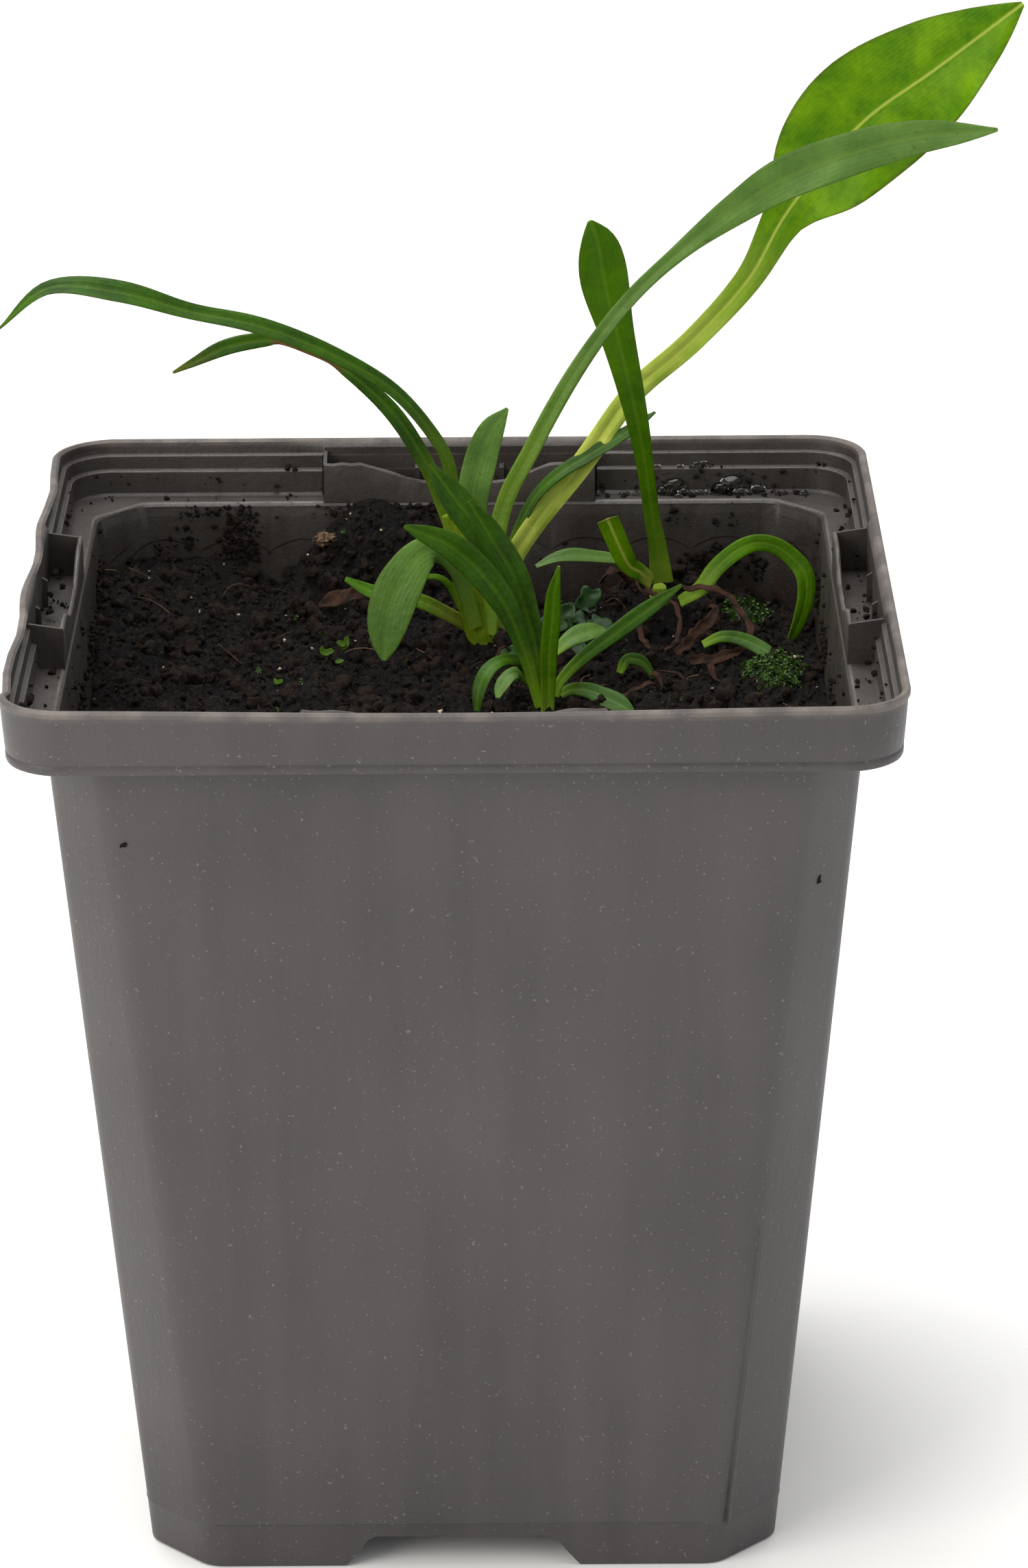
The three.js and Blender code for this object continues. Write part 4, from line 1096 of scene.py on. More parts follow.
def dirtSheets():  # thin sheets just off the wall, the ledge and the two steps of every side
    shape = bmesh.new()
    dirty = shape.verts.layers.float.new("dirty")
    wallLow, wallHigh, inset = 84.5, 93.7, pot["wall"] + 0.04
    bands = (
        ((bodyHalf(wallLow) - inset, wallLow), (bodyHalf(wallHigh) - inset, wallHigh), 34, 18, smeared),
        ((40.5, 94.03), (42.4, 94.03), 40, 5, dusted),
        ((42.75, 94.4), (42.85, 96.6), 41, 4, dusted),
        ((42.95, 96.76), (43.35, 96.9), 41, 1, dusted),
    )
    for side in range(4):
        turn = Matrix.Rotation(-side * math.pi / 2, 2)
        for (outLow, zLow), (outHigh, zHigh), reach, steps, amount in bands:
            rows = []
            for j in range(steps + 1):
                out, z = outLow + (outHigh - outLow) * j / steps, zLow + (zHigh - zLow) * j / steps
                row = []
                for i in range(int(reach * 4) + 1):
                    s = -reach + i * 0.5
                    x, y = turn @ Vector((s, out))
                    row.append(shape.verts.new(at(x, y, z)))
                    row[-1][dirty] = amount(side, s, z)
                rows.append(row)
            for a, b in zip(rows, rows[1:]):
                for i in range(len(a) - 1):
                    face = shape.faces.new((a[i], a[i + 1], b[i + 1], b[i]))
                    face.normal_update()
                    middle = face.calc_center_median() - at(0, 0, 130)
                    if face.normal.dot(middle) > 0:
                        face.normal_flip()
    mesh = bpy.data.meshes.new("dirtSheets")
    shape.to_mesh(mesh)
    shape.free()
    return mesh


def strew(name, surface, where, perArea, least, most, shapes, material, slot, seed, tilt=3.14, lift=0.0):
    bits = bitCollection(name + "Bit", shapes)
    values = {
        "Where": where, "Per Square Metre": float(perArea), "Seed": seed, "Smallest": least, "Largest": most,
        "Tilt": tilt, "Lift": lift, "Bits": bits, "Material": material,
    }
    mesh = runTree(strewTree, surface, values)
    dropCollection(bits)
    mesh.shade_smooth()
    print(name, len(mesh.polygons), "faces")
    return newPiece(name, mesh, material, slot)


largeBits = [crumbShape(s, 2) for s in range(6)]
smallBits = [crumbShape(s + 20, 1) for s in range(5)]
gritBits = [crumbShape(s + 40, 2) for s in range(4)]
fibreBits = [fibreShape(s) for s in range(7)]
stuckBits = [crumbShape(s + 60, 1) for s in range(5)]
strew("largeCrumbs", soilBed, *strewn["largeCrumbs"], largeBits, peatCrumb, "peat", 3)
strew("smallCrumbs", soilBed, *strewn["smallCrumbs"], smallBits, peatCrumb, "peat", 5)
strew("gritGrains", soilBed, *strewn["gritGrains"], gritBits, grit, "grit", 8, lift=0.0001)
strew("peatFibres", soilBed, *strewn["fibres"], fibreBits, fibre, "fibre", 12, tilt=0.25, lift=0.0003)
strew("stuckCrumbs", dirtSheets(), *strewn["stuckCrumbs"], stuckBits, peatCrumb, "peat", 21, lift=0.00012)
print("soil strewn")


# ---- Leaves ----
# Each is swept along its midrib by one tree. path: points from the crown to the tip, in
# millimetres from the middle of the pot's foot. half: half the width at shares of the length. face: where
# the upper side looks, at shares of the length. pale: the share of the length where the pale stalk ends.
# dry: how dried it is, at shares of the length.
def makeBladeTree():
    tree = bpy.data.node_groups.new("leafBlade", "GeometryNodeTree")
    given, result = giveInputs(
        tree,
        (
            ("Geometry", "NodeSocketGeometry", None),
            ("Stations", "NodeSocketInt", 44),
            ("Sides", "NodeSocketInt", 24),
            ("Thickness", "NodeSocketFloat", 0.0005),
            ("Fold", "NodeSocketFloat", 0.12),
            ("Rib", "NodeSocketFloat", 0.00012),
            ("Ripple", "NodeSocketFloat", 0.0),
            ("Waves", "NodeSocketFloat", 3.0),
            ("Material", "NodeSocketMaterial", None),
        ),
    )
    line = addNode(tree, "GeometryNodeMeshToCurve", {"Mesh": given["Geometry"]})
    line = addNode(tree, "GeometryNodeResampleCurve", {"Curve": line, "Count": given["Stations"]})
    facing = addNode(tree, "GeometryNodeInputNamedAttribute", {"Name": "facing"}, data_type="FLOAT_VECTOR")
    width = addNode(tree, "GeometryNodeInputNamedAttribute", {"Name": "halfWidth"}, data_type="FLOAT")
    tangent = addNode(tree, "GeometryNodeInputTangent")
    spot = addNode(tree, "GeometryNodeInputPosition")
    along = addNode(tree, "GeometryNodeSplineParameter")
    side = addNode(tree, "ShaderNodeVectorMath", {0: tangent, 1: facing}, operation="CROSS_PRODUCT")
    side = addNode(tree, "ShaderNodeVectorMath", {0: side}, operation="NORMALIZE")
    up = addNode(tree, "ShaderNodeVectorMath", {0: side, 1: tangent}, operation="CROSS_PRODUCT")
    kept = addNode(tree, "GeometryNodeCaptureAttribute", {"Geometry": line})
    for kind, name, source in (
        ("VECTOR", "Centre", spot), ("VECTOR", "Side", side), ("VECTOR", "Up", up), ("FLOAT", "Half", width),
        ("FLOAT", "Share", along),
    ):
        kept.capture_items.new(kind, name)
        tree.links.new(source.outputs[0], kept.inputs[name])
    lens = addNode(tree, "GeometryNodeCurvePrimitiveCircle", {"Resolution": given["Sides"], "Radius": 1.0})
    ring = addNode(tree, "GeometryNodeCaptureAttribute", {"Geometry": lens})
    ring.capture_items.new("VECTOR", "Place")
    tree.links.new(spot.outputs[0], ring.inputs["Place"])
    skin = addNode(
        tree, "GeometryNodeCurveToMesh",
        {"Curve": kept.outputs[0], "Profile Curve": ring.outputs[0], "Fill Caps": True},
    )
    place = addNode(tree, "ShaderNodeSeparateXYZ", {0: ring.outputs["Place"]})
    across, level = place.outputs[0], place.outputs[1]
    half, share = kept.outputs["Half"], kept.outputs["Share"]

    out = addNode(tree, "ShaderNodeMath", {0: across, 1: half}, operation="MULTIPLY")
    away = addNode(tree, "ShaderNodeMath", {0: across}, operation="ABSOLUTE")
    bent = addNode(tree, "ShaderNodeMath", {0: away, 1: 1.25}, operation="POWER")
    spread = addNode(tree, "ShaderNodeMath", {0: bent, 1: half}, operation="MULTIPLY")
    fold = addNode(tree, "ShaderNodeMath", {0: spread, 1: given["Fold"]}, operation="MULTIPLY")
    # a groove above and a keel below the midrib
    near = addNode(tree, "ShaderNodeMath", {0: out, 1: 0.0004}, operation="DIVIDE")
    near = addNode(tree, "ShaderNodeMath", {0: near, 1: near}, operation="MULTIPLY")
    near = addNode(tree, "ShaderNodeMath", {0: near, 1: -1.0}, operation="MULTIPLY")
    near = addNode(tree, "ShaderNodeMath", {0: near}, operation="EXPONENT")
    groove = addNode(tree, "ShaderNodeMath", {0: near, 1: given["Rib"]}, operation="MULTIPLY")
    # waves along the two edges, out of step with each other
    wave = addNode(tree, "ShaderNodeMath", {0: share, 1: given["Waves"]}, operation="MULTIPLY")
    wave = addNode(tree, "ShaderNodeMath", {0: wave, 1: 2 * math.pi}, operation="MULTIPLY")
    shift = addNode(tree, "ShaderNodeMath", {0: across, 1: 1.4}, operation="MULTIPLY")
    wave = addNode(tree, "ShaderNodeMath", {0: wave, 1: shift}, operation="ADD")
    wave = addNode(tree, "ShaderNodeMath", {0: wave}, operation="SINE")
    wave = addNode(tree, "ShaderNodeMath", {0: wave, 1: spread}, operation="MULTIPLY")
    wave = addNode(tree, "ShaderNodeMath", {0: wave, 1: given["Ripple"]}, operation="MULTIPLY")
    lower = addNode(tree, "ShaderNodeMapRange", {0: across, 1: -0.2, 2: 1.0, 3: 0.12, 4: 1.0})
    wave = addNode(tree, "ShaderNodeMath", {0: wave, 1: lower}, operation="MULTIPLY")
    thin = addNode(tree, "ShaderNodeMapRange", {0: share, 3: 0.5, 4: 0.3})
    thick = addNode(tree, "ShaderNodeMath", {0: given["Thickness"], 1: thin}, operation="MULTIPLY")
    thick = addNode(tree, "ShaderNodeMath", {0: thick, 1: level}, operation="MULTIPLY")
    rise = addNode(tree, "ShaderNodeMath", {0: fold, 1: groove}, operation="SUBTRACT")
    rise = addNode(tree, "ShaderNodeMath", {0: rise, 1: wave}, operation="ADD")
    rise = addNode(tree, "ShaderNodeMath", {0: rise, 1: thick}, operation="ADD")
    sideways = addNode(
        tree, "ShaderNodeVectorMath", {0: kept.outputs["Side"], "Scale": out}, operation="SCALE"
    )
    upwards = addNode(tree, "ShaderNodeVectorMath", {0: kept.outputs["Up"], "Scale": rise}, operation="SCALE")
    total = addNode(tree, "ShaderNodeVectorMath", {0: kept.outputs["Centre"], 1: sideways}, operation="ADD")
    total = addNode(tree, "ShaderNodeVectorMath", {0: total, 1: upwards}, operation="ADD")
    shaped = addNode(tree, "GeometryNodeSetPosition", {"Geometry": skin, "Position": total})
    marks = addNode(tree, "ShaderNodeCombineXYZ", {0: across, 1: share, 2: half})
    marked = addNode(
        tree, "GeometryNodeStoreNamedAttribute", {"Geometry": shaped, "Name": "bladePlace", "Value": marks},
        data_type="FLOAT_VECTOR", domain="POINT",
    )
    above = addNode(tree, "ShaderNodeMapRange", {0: level, 1: -0.1, 2: 0.1})
    marked = addNode(
        tree, "GeometryNodeStoreNamedAttribute", {"Geometry": marked, "Name": "upper", "Value": above},
        data_type="FLOAT", domain="POINT",
    )
    real = addNode(tree, "GeometryNodeRealizeInstances", {"Geometry": marked})
    finished = addNode(tree, "GeometryNodeSetMaterial", {"Geometry": real, "Material": given["Material"]})
    tree.links.new(finished.outputs[0], result.inputs[0])
    return tree


bladeTree = makeBladeTree()


def sampleRow(row, share):  # a smooth value through (share, value) stops
    for k, ((a, low), (b, high)) in enumerate(zip(row, row[1:])):
        if share <= b:
            before, after = row[max(k - 1, 0)], row[min(k + 2, len(row) - 1)]
            t, span = (share - a) / (b - a), b - a
            slopeLow = (high - before[1]) * (span / (b - before[0]))
            slopeHigh = (after[1] - low) * (span / (after[0] - a))
            return (
                low * (2 * t**3 - 3 * t**2 + 1) + slopeLow * (t**3 - 2 * t**2 + t)
                + high * (3 * t**2 - 2 * t**3) + slopeHigh * (t**3 - t**2)
            )
    return row[-1][1]


def smoothLine(points, count):  # evenly spaced points on a smooth curve through the given ones
    ends = [points[0] * 2 - points[1], *points, points[-1] * 2 - points[-2]]
    fine = []
    for p0, p1, p2, p3 in zip(ends, ends[1:], ends[2:], ends[3:]):
        for i in range(14):
            t = i / 14
            fine.append(
                0.5 * (2 * p1 + (p2 - p0) * t + (2 * p0 - 5 * p1 + 4 * p2 - p3) * t * t
                       + (3 * p1 - p0 - 3 * p2 + p3) * t**3)
            )
    fine.append(points[-1])
    reach = [0.0]
    for a, b in zip(fine, fine[1:]):
        reach.append(reach[-1] + (b - a).length)
    line, k = [], 0
    for i in range(count):
        goal = reach[-1] * i / (count - 1)
        while k + 2 < len(fine) and reach[k + 1] < goal:
            k += 1
        line.append(fine[k].lerp(fine[k + 1], min(1, (goal - reach[k]) / (reach[k + 1] - reach[k]))))
    return line


def bladeMesh(leaf, material):
    count = 60
    line = smoothLine([Vector(p) for p in leaf["path"]], count)
    mesh = bpy.data.meshes.new("midrib")
    mesh.from_pydata([at(*p) for p in line], [(i, i + 1) for i in range(count - 1)], [])
    for name in ("halfWidth", "facing", "pale", "dry"):
        mesh.attributes.new(name, "FLOAT_VECTOR" if name == "facing" else "FLOAT", "POINT")
    width, facing, pale, dry = (mesh.attributes[name] for name in ("halfWidth", "facing", "pale", "dry"))
    faces = [(share, Vector(way)) for share, way in leaf["face"]]
    for i in range(count):
        share = i / (count - 1)
        width.data[i].value = max(0.08, sampleRow(leaf["half"], share)) * mm
        facing.data[i].vector = sampleRow(faces, share)
        end = leaf.get("pale", 0.15)
        pale.data[i].value = min(1, max(0, (end + 0.12 - share) / 0.24)) if end else 0
        dry.data[i].value = min(1, max(0, sampleRow(leaf["dry"], share))) if "dry" in leaf else 0
    values = {
        "Stations": leaf.get("stations", 44), "Sides": leaf.get("sides", 24),
        "Thickness": leaf["thick"] * mm, "Fold": leaf["fold"], "Rib": leaf.get("rib", 0.1) * mm,
        "Ripple": leaf.get("ripple", 0.05), "Waves": leaf.get("waves", 3.0), "Material": material,
    }
    result = runTree(bladeTree, mesh, values)
    shape = bmesh.new()
    shape.from_mesh(result)
    bmesh.ops.recalc_face_normals(shape, faces=shape.faces)
    shape.to_mesh(result)
    shape.free()
    result.shade_smooth()
    return result


leaves = {
    "leaf_sheath": {
        "path": [(2.8, 19, 84.6), (2, 19, 88), (1.1, 19, 91.5), (0.2, 19, 95.5), (-0.6, 19, 99.3)],
        "half": [(0, 1.7), (0.2, 1.9), (0.6, 1.6), (1, 1.2)],
        "face": [(0, (0, -1, 0.1)), (1, (0, -1, 0.1))],
        "thick": 2.2, "fold": 0, "skin": "sheath", "pale": 0, "rib": 0, "sides": 20,
    },
    "leaf_tall_broad": {
        "path": [
            (4, 20.4, 86), (6.1, 21, 94), (13.7, 25, 103.4), (19, 29, 109.7), (25.5, 32, 114.7),
            (31.7, 34, 121.1), (36, 35, 128.5), (43.5, 34.5, 138), (51.5, 33, 144.5), (60.4, 31, 152),
        ],
        "half": [
            (0, 1.1), (0.2, 1.2), (0.4, 1.25), (0.5, 1.4), (0.57, 1.8), (0.62, 2.6), (0.68, 5.5),
            (0.74, 6.8), (0.8, 6.8), (0.88, 5.5), (0.94, 3.3), (0.98, 1.4), (1, 0.3),
        ],
        "face": [(0, (0.2, -1, 0.3)), (1, (-0.1, -1, 0.35))],
        "thick": 0.6, "fold": 0.1, "skin": "broad", "pale": 0.48, "ripple": 0.3, "waves": 4.5,
        "stations": 96, "sides": 40, "rib": 0.2,
    },
    "leaf_tall_folded": {
        "path": [
            (3.2, 18.2, 86), (4.6, 18.4, 99), (8, 17.5, 107), (12.7, 16.5, 116), (18, 16, 123.6),
            (23.5, 16, 129), (29.6, 16, 133.8), (35.8, 16, 137.6), (46.6, 14, 141.6), (56.4, 11, 143.4),
        ],
        "half": [
            (0, 1), (0.3, 0.95), (0.48, 0.8), (0.57, 0.9), (0.66, 1.7), (0.74, 2.3), (0.84, 2.2),
            (0.9, 1.8), (0.95, 1.2), (1, 0.2),
        ],
        "face": [(0, (-0.4, -1, 0.2)), (1, (-0.1, -1, 0.1))],
        "thick": 0.55, "fold": 0.15, "skin": "dull", "pale": 0.3, "stations": 80, "ripple": 0.1, "waves": 4.0,
    },
    "leaf_behind_narrow": {
        "path": [
            (5, 21.4, 91.5), (5.9, 21.9, 95), (8, 22.6, 99.5), (10.6, 23.4, 102.1), (13.6, 24.6, 103.7),
            (16.7, 25.9, 105.2), (19, 27.2, 106.3), (21.4, 28.4, 107.8),
        ],
        "half": [(0, 0.5), (0.4, 0.7), (0.7, 1), (0.9, 0.7), (1, 0.15)],
        "face": [(0, (0, -0.6, 0.8)), (1, (0, -0.4, 0.9))],
        "thick": 0.5, "fold": 0.15, "skin": "dark",
    },
    "leaf_short_upright": {
        "path": [
            (2.4, 20.6, 86), (1.9, 20.9, 95), (1.6, 21.6, 100.2), (2.5, 23, 104.3), (3.6, 24.2, 107),
            (5.4, 26, 109),
        ],
        "half": [(0, 1), (0.4, 1.4), (0.7, 1.8), (0.88, 1.4), (1, 0.2)],
        "face": [(0, (0, -1, 0.2)), (1, (0.2, -1, 0.3))],
        "thick": 0.6, "fold": 0.15, "skin": "dull",
    },
    "leaf_arching_left": {
        "path": [
            (-0.5, 18.7, 99), (-0.8, 18.8, 104), (-2.4, 18.6, 108), (-6.9, 18, 113.6), (-13.6, 17, 118),
            (-21, 16, 121.3), (-28.2, 15, 123.2), (-35.4, 14, 125.6), (-42.7, 13, 126.4),
            (-47.9, 11, 122.7),
        ],
        "half": [
            (0, 0.8), (0.3, 0.9), (0.5, 1.2), (0.64, 1.1), (0.78, 1.6), (0.86, 1.3), (0.94, 0.6),
            (1, 0.1),
        ],
        "face": [(0, (0.5, -0.8, 0.6)), (1, (-0.1, -0.5, 1))],
        "thick": 0.5, "fold": 0.2, "skin": "dark", "pale": 0.1, "stations": 70,
    },
    "leaf_broken_left": {
        "path": [
            (-1, 20.6, 98), (-3.2, 21.4, 103.8), (-7.1, 22, 110), (-12.3, 22, 114.9), (-16, 22, 116.8),
            (-19.3, 22, 118), (-22, 21.5, 118), (-25, 21, 117.4), (-28.2, 20, 116.1), (-30.2, 19, 115.4),
        ],
        "half": [
            (0, 0.9), (0.3, 1), (0.5, 0.7), (0.55, 0.4), (0.7, 0.4), (0.73, 0.8), (0.85, 0.9),
            (0.94, 0.5), (1, 0.15),
        ],
        "face": [(0, (0.5, -0.9, 0.4)), (1, (0, -0.8, 0.6))],
        "thick": 0.5, "fold": 0.1, "skin": "dark", "pale": 0.1, "stations": 70,
        "dry": [(0, 0), (0.5, 0), (0.54, 1), (0.7, 1), (0.73, 0), (1, 0.3)],
    },
    "leaf_left_bent": {
        "path": [
            (1.8, 17.4, 87), (0, 16.4, 93.4), (-2.2, 15.2, 96.4), (-4.1, 14, 96.2), (-5.6, 13, 94.4),
            (-6.8, 12.5, 92), (-7.6, 12, 89.2), (-8, 11.3, 85.4),
        ],
        "half": [(0, 0.8), (0.35, 1), (0.5, 1.8), (0.68, 2.5), (0.84, 2.3), (0.94, 1.4), (1, 0.3)],
        "face": [(0, (0.3, -1, 0.4)), (1, (-0.3, -1, 0.3))],
        "thick": 0.5, "fold": 0.06, "skin": "dull", "stations": 50,
    },
    "leaf_left_low": {
        "path": [
            (1, 19.6, 86.4), (-1.6, 19.4, 88), (-4.3, 19.8, 89.2), (-7.1, 20.2, 89.6),
            (-9.6, 20.6, 90.1), (-12.3, 21, 91.4),
        ],
        "half": [(0, 0.8), (0.4, 0.9), (0.8, 0.85), (1, 0.3)],
        "face": [(0, (0, -0.8, 0.6)), (1, (0, -0.6, 0.8))],
        "thick": 0.5, "fold": 0.1, "skin": "light", "dry": [(0, 0.5), (0.35, 0.2), (0.5, 0), (1, 0)],
    },
    "leaf_left_thin": {
        "path": [
            (0.7, 21.4, 86.8), (-0.6, 22, 89.6), (-1.9, 21.8, 91.1), (-3.5, 21.2, 91.5),
            (-5, 20.8, 91.3), (-6.3, 20.4, 91),
        ],
        "half": [(0, 0.45), (0.5, 0.4), (1, 0.25)],
        "face": [(0, (0, -0.7, 0.7)), (1, (0, -0.7, 0.7))],
        "thick": 0.5, "fold": 0, "skin": "light",
    },
    "leaf_front_tall": {
        "path": [
            (8.6, 3.2, 84), (7.4, 5.4, 91.6), (5.4, 7.4, 96.5), (2.3, 9.2, 100.9), (-0.3, 10.2, 104),
            (-2.8, 11, 107.4),
        ],
        "half": [(0, 0.7), (0.35, 1.2), (0.65, 1.7), (0.85, 1.5), (1, 0.3)],
        "face": [(0, (-0.2, -1, 0.3)), (1, (-0.1, -1, 0.5))],
        "thick": 0.5, "fold": 0.12, "skin": "dark",
    },
    "leaf_front_wide": {
        "path": [
            (8.9, 1.4, 84), (8.5, 2.2, 88), (7.8, 3.6, 91.5), (6, 5.2, 96.8), (3.7, 6.4, 100.6),
            (1.3, 7, 104.6),
        ],
        "half": [(0, 0.6), (0.3, 1.1), (0.6, 1.6), (0.85, 1.4), (1, 0.3)],
        "face": [(0, (-0.2, -1, 0.2)), (1, (0, -1, 0.4))],
        "thick": 0.5, "fold": 0.12, "skin": "dark",
    },
    "leaf_front_left": {
        "path": [
            (8.6, 0, 84), (7.6, 0.6, 88.1), (6.6, 1.2, 91.2), (5.2, 1.8, 94.5), (3.4, 2.4, 97.1),
            (1.3, 3, 99.3), (-1.3, 3, 101.4), (-5.5, 3, 103.2),
        ],
        "half": [(0, 0.5), (0.3, 0.9), (0.5, 1.4), (0.75, 1.5), (0.92, 0.9), (1, 0.2)],
        "face": [(0, (-0.3, -1, 0.3)), (1, (0, -1, 0.5))],
        "thick": 0.5, "fold": 0.12, "skin": "dark",
    },
    "leaf_front_upright": {
        "path": [
            (9.4, -0.5, 83.6), (9.5, -0.9, 87.7), (9.6, -1, 90.9), (9.9, -1, 94), (10.1, -1, 97.1),
            (10.7, -1, 100),
        ],
        "half": [(0, 0.7), (0.5, 0.95), (0.8, 0.8), (1, 0.15)],
        "face": [(0, (0.2, -1, 0.2)), (1, (0.2, -1, 0.2))],
        "thick": 0.5, "fold": 0.15, "skin": "light",
    },
    "leaf_front_right": {
        "path": [
            (10.2, 1.2, 84.8), (10.6, 1.8, 85.9), (11.7, 3, 87), (13.7, 5, 88.2), (16.4, 7, 89.6),
            (19.4, 9, 91.2), (22, 10.8, 92.5), (23.9, 12, 93.5),
        ],
        "half": [(0, 0.5), (0.4, 0.8), (0.75, 0.9), (1, 0.2)],
        "face": [(0, (0.3, -0.9, 0.5)), (1, (0.3, -0.8, 0.7))],
        "thick": 0.5, "fold": 0.12, "skin": "dark",
    },
    "leaf_front_curled": {
        "path": [
            (8.4, 2.6, 85.3), (6.9, 2.2, 88), (5.2, 0.8, 89.1), (3.7, -0.6, 88.9), (2.7, -1.8, 87.9),
            (2.2, -2.6, 86.5), (2, -3.1, 84.8),
        ],
        "half": [(0, 0.5), (0.4, 0.75), (0.8, 0.9), (1, 0.4)],
        "face": [(0, (-0.2, -0.6, 0.8)), (1, (-0.6, -0.9, 0.2))],
        "thick": 0.5, "fold": 0.1, "skin": "dark",
    },
    "leaf_front_low_right": {
        "path": [
            (10.8, 3, 84.3), (12, 3.4, 84.8), (13.8, 3, 84.8), (15.4, 2, 84.4), (17, 0.8, 84),
            (18.6, -0.4, 83.4),
        ],
        "half": [(0, 0.5), (0.4, 1), (0.75, 1.2), (1, 0.3)],
        "face": [(0, (0, -0.7, 0.7)), (1, (0.2, -0.7, 0.7))],
        "thick": 0.45, "fold": 0.1, "skin": "dark",
    },
    "leaf_front_low_left": {
        "path": [(7.6, 5.4, 84.9), (6.4, 5, 86), (5.4, 4.2, 86), (4.6, 3, 85.2), (4.2, 2, 84.4)],
        "half": [(0, 0.5), (0.5, 0.9), (0.8, 0.8), (1, 0.3)],
        "face": [(0, (-0.3, -0.7, 0.7)), (1, (-0.5, -0.8, 0.4))],
        "thick": 0.45, "fold": 0.1, "skin": "dull",
    },
    "leaf_middle_low": {
        "path": [(10.4, 13.4, 85.4), (11.6, 14, 86.4), (13, 15, 86.9), (14.4, 16, 87), (15.8, 17, 86.8)],
        "half": [(0, 0.5), (0.5, 1.2), (0.8, 1), (1, 0.3)],
        "face": [(0, (0, -0.6, 0.8)), (1, (0.1, -0.6, 0.8))],
        "thick": 0.45, "fold": 0.1, "skin": "dull",
    },
    "leaf_middle_curled": {
        "path": [(17.2, 9, 84.6), (18, 9.8, 85.8), (19.4, 9.9, 85.7), (20.3, 9.5, 84.9), (20.8, 9, 84)],
        "half": [(0, 0.4), (0.5, 0.7), (1, 0.3)],
        "face": [(0, (0, -0.7, 0.7)), (1, (0.5, -0.8, 0.4))],
        "thick": 0.45, "fold": 0.1, "skin": "dark",
    },
    "leaf_back_spoon": {
        "path": [
            (22.2, 29.4, 88), (21.7, 28.6, 92.6), (21.1, 27.6, 96), (20.3, 25.8, 102.3),
            (19.5, 24.8, 107.4), (18.4, 24.4, 112.7), (17.1, 24, 118.2), (15.9, 23.4, 123.6),
            (15.2, 22.7, 128), (14.3, 22, 130.9),
        ],
        "half": [
            (0, 1.3), (0.13, 0.95), (0.3, 0.9), (0.5, 1.3), (0.7, 1.9), (0.84, 2.6), (0.92, 2.3),
            (0.97, 1.4), (1, 0.3),
        ],
        "face": [(0, (0, -1, 0.2)), (1, (0.1, -1, 0.2))],
        "thick": 0.6, "fold": 0.12, "skin": "light", "pale": 0.12, "stations": 60, "sides": 28,
    },
    "leaf_back_cut": {
        "path": [
            (21, 28.8, 88.2), (19.8, 27.2, 89.8), (18.6, 26, 91), (17.5, 25.3, 93.4), (16.2, 24.7, 96.8),
        ],
        "half": [(0, 0.9), (0.4, 1.1), (1, 1.25)],
        "face": [(0, (0.2, -1, 0.6)), (1, (-0.3, -1, 0.8))],
        "thick": 0.45, "fold": 0.06, "skin": "broad", "dry": [(0, 0.1), (0.2, 0), (0.97, 0), (1, 0.5)],
    },
    "leaf_back_flat": {
        "path": [
            (19.6, 29.6, 89.2), (17.7, 27.6, 91), (15.2, 26, 92), (12.9, 24.8, 92.6), (10.6, 23.8, 92.7),
            (8.4, 23, 92),
        ],
        "half": [(0, 0.5), (0.4, 1), (0.7, 1.1), (1, 0.3)],
        "face": [(0, (0, -0.5, 0.9)), (1, (0, -0.4, 0.95))],
        "thick": 0.45, "fold": 0.12, "skin": "dull",
    },
    "leaf_right_arch": {
        "path": [
            (24.2, 27.2, 86.4), (26.5, 26.6, 88.2), (27.8, 26.8, 90), (29.2, 27, 91.4),
            (31.1, 27.5, 92.6), (33, 28, 92.9), (34.9, 28, 92.4), (36.6, 27.8, 91.1), (37.8, 27.2, 89.5),
            (37.9, 26.4, 87), (37, 25, 84.6), (35.8, 23.2, 82.8),
        ],
        "half": [(0, 0.7), (0.15, 1), (0.5, 0.95), (0.8, 1.1), (0.95, 0.8), (1, 0.3)],
        "face": [(0, (-0.5, -0.7, 0.5)), (1, (0.5, -0.8, -0.2))],
        "thick": 0.5, "fold": 0.08, "skin": "light",
    },
    "leaf_right_low": {
        "path": [
            (26.4, 17.4, 84.8), (28.2, 17.6, 85.6), (30, 17.6, 85.5), (31.8, 17, 85), (33.4, 15.8, 84.3),
            (34.4, 14.2, 83.6), (34.6, 12.8, 83.2),
        ],
        "half": [(0, 0.5), (0.4, 0.85), (0.8, 0.85), (1, 0.3)],
        "face": [(0, (0, -0.6, 0.8)), (1, (0.5, -0.8, 0.4))],
        "thick": 0.5, "fold": 0.1, "skin": "dark",
    },
    "leaf_withered_left": {
        "path": [
            (-8, 22.4, 89), (-10, 22.2, 89.4), (-12, 22, 89.3), (-13.6, 21.8, 88.7), (-14.8, 21.6, 88.2),
        ],
        "half": [(0, 0.4), (0.5, 0.8), (0.8, 0.9), (1, 0.3)],
        "face": [(0, (0, -0.7, 0.7)), (1, (0, -0.7, 0.7))],
        "thick": 0.45, "fold": 0.2, "skin": "withered",
    },
    "withered_ring": {
        "path": [
            (24.4, 26, 88.4), (27.4, 25.2, 88.7), (29.4, 24.2, 88), (30.6, 23, 86.9), (31.4, 21.6, 85.9),
            (31.2, 19, 84.6), (29.8, 16.6, 84.2), (27.4, 15, 84), (24.8, 14, 84.1),
        ],
        "half": [(0, 0.35), (0.5, 0.4), (0.85, 0.6), (1, 0.4)],
        "face": [(0, (0, -0.6, 0.8)), (1, (0, -0.8, 0.6))],
        "thick": 0.4, "fold": 0.2, "skin": "withered",
    },
    "withered_strap": {
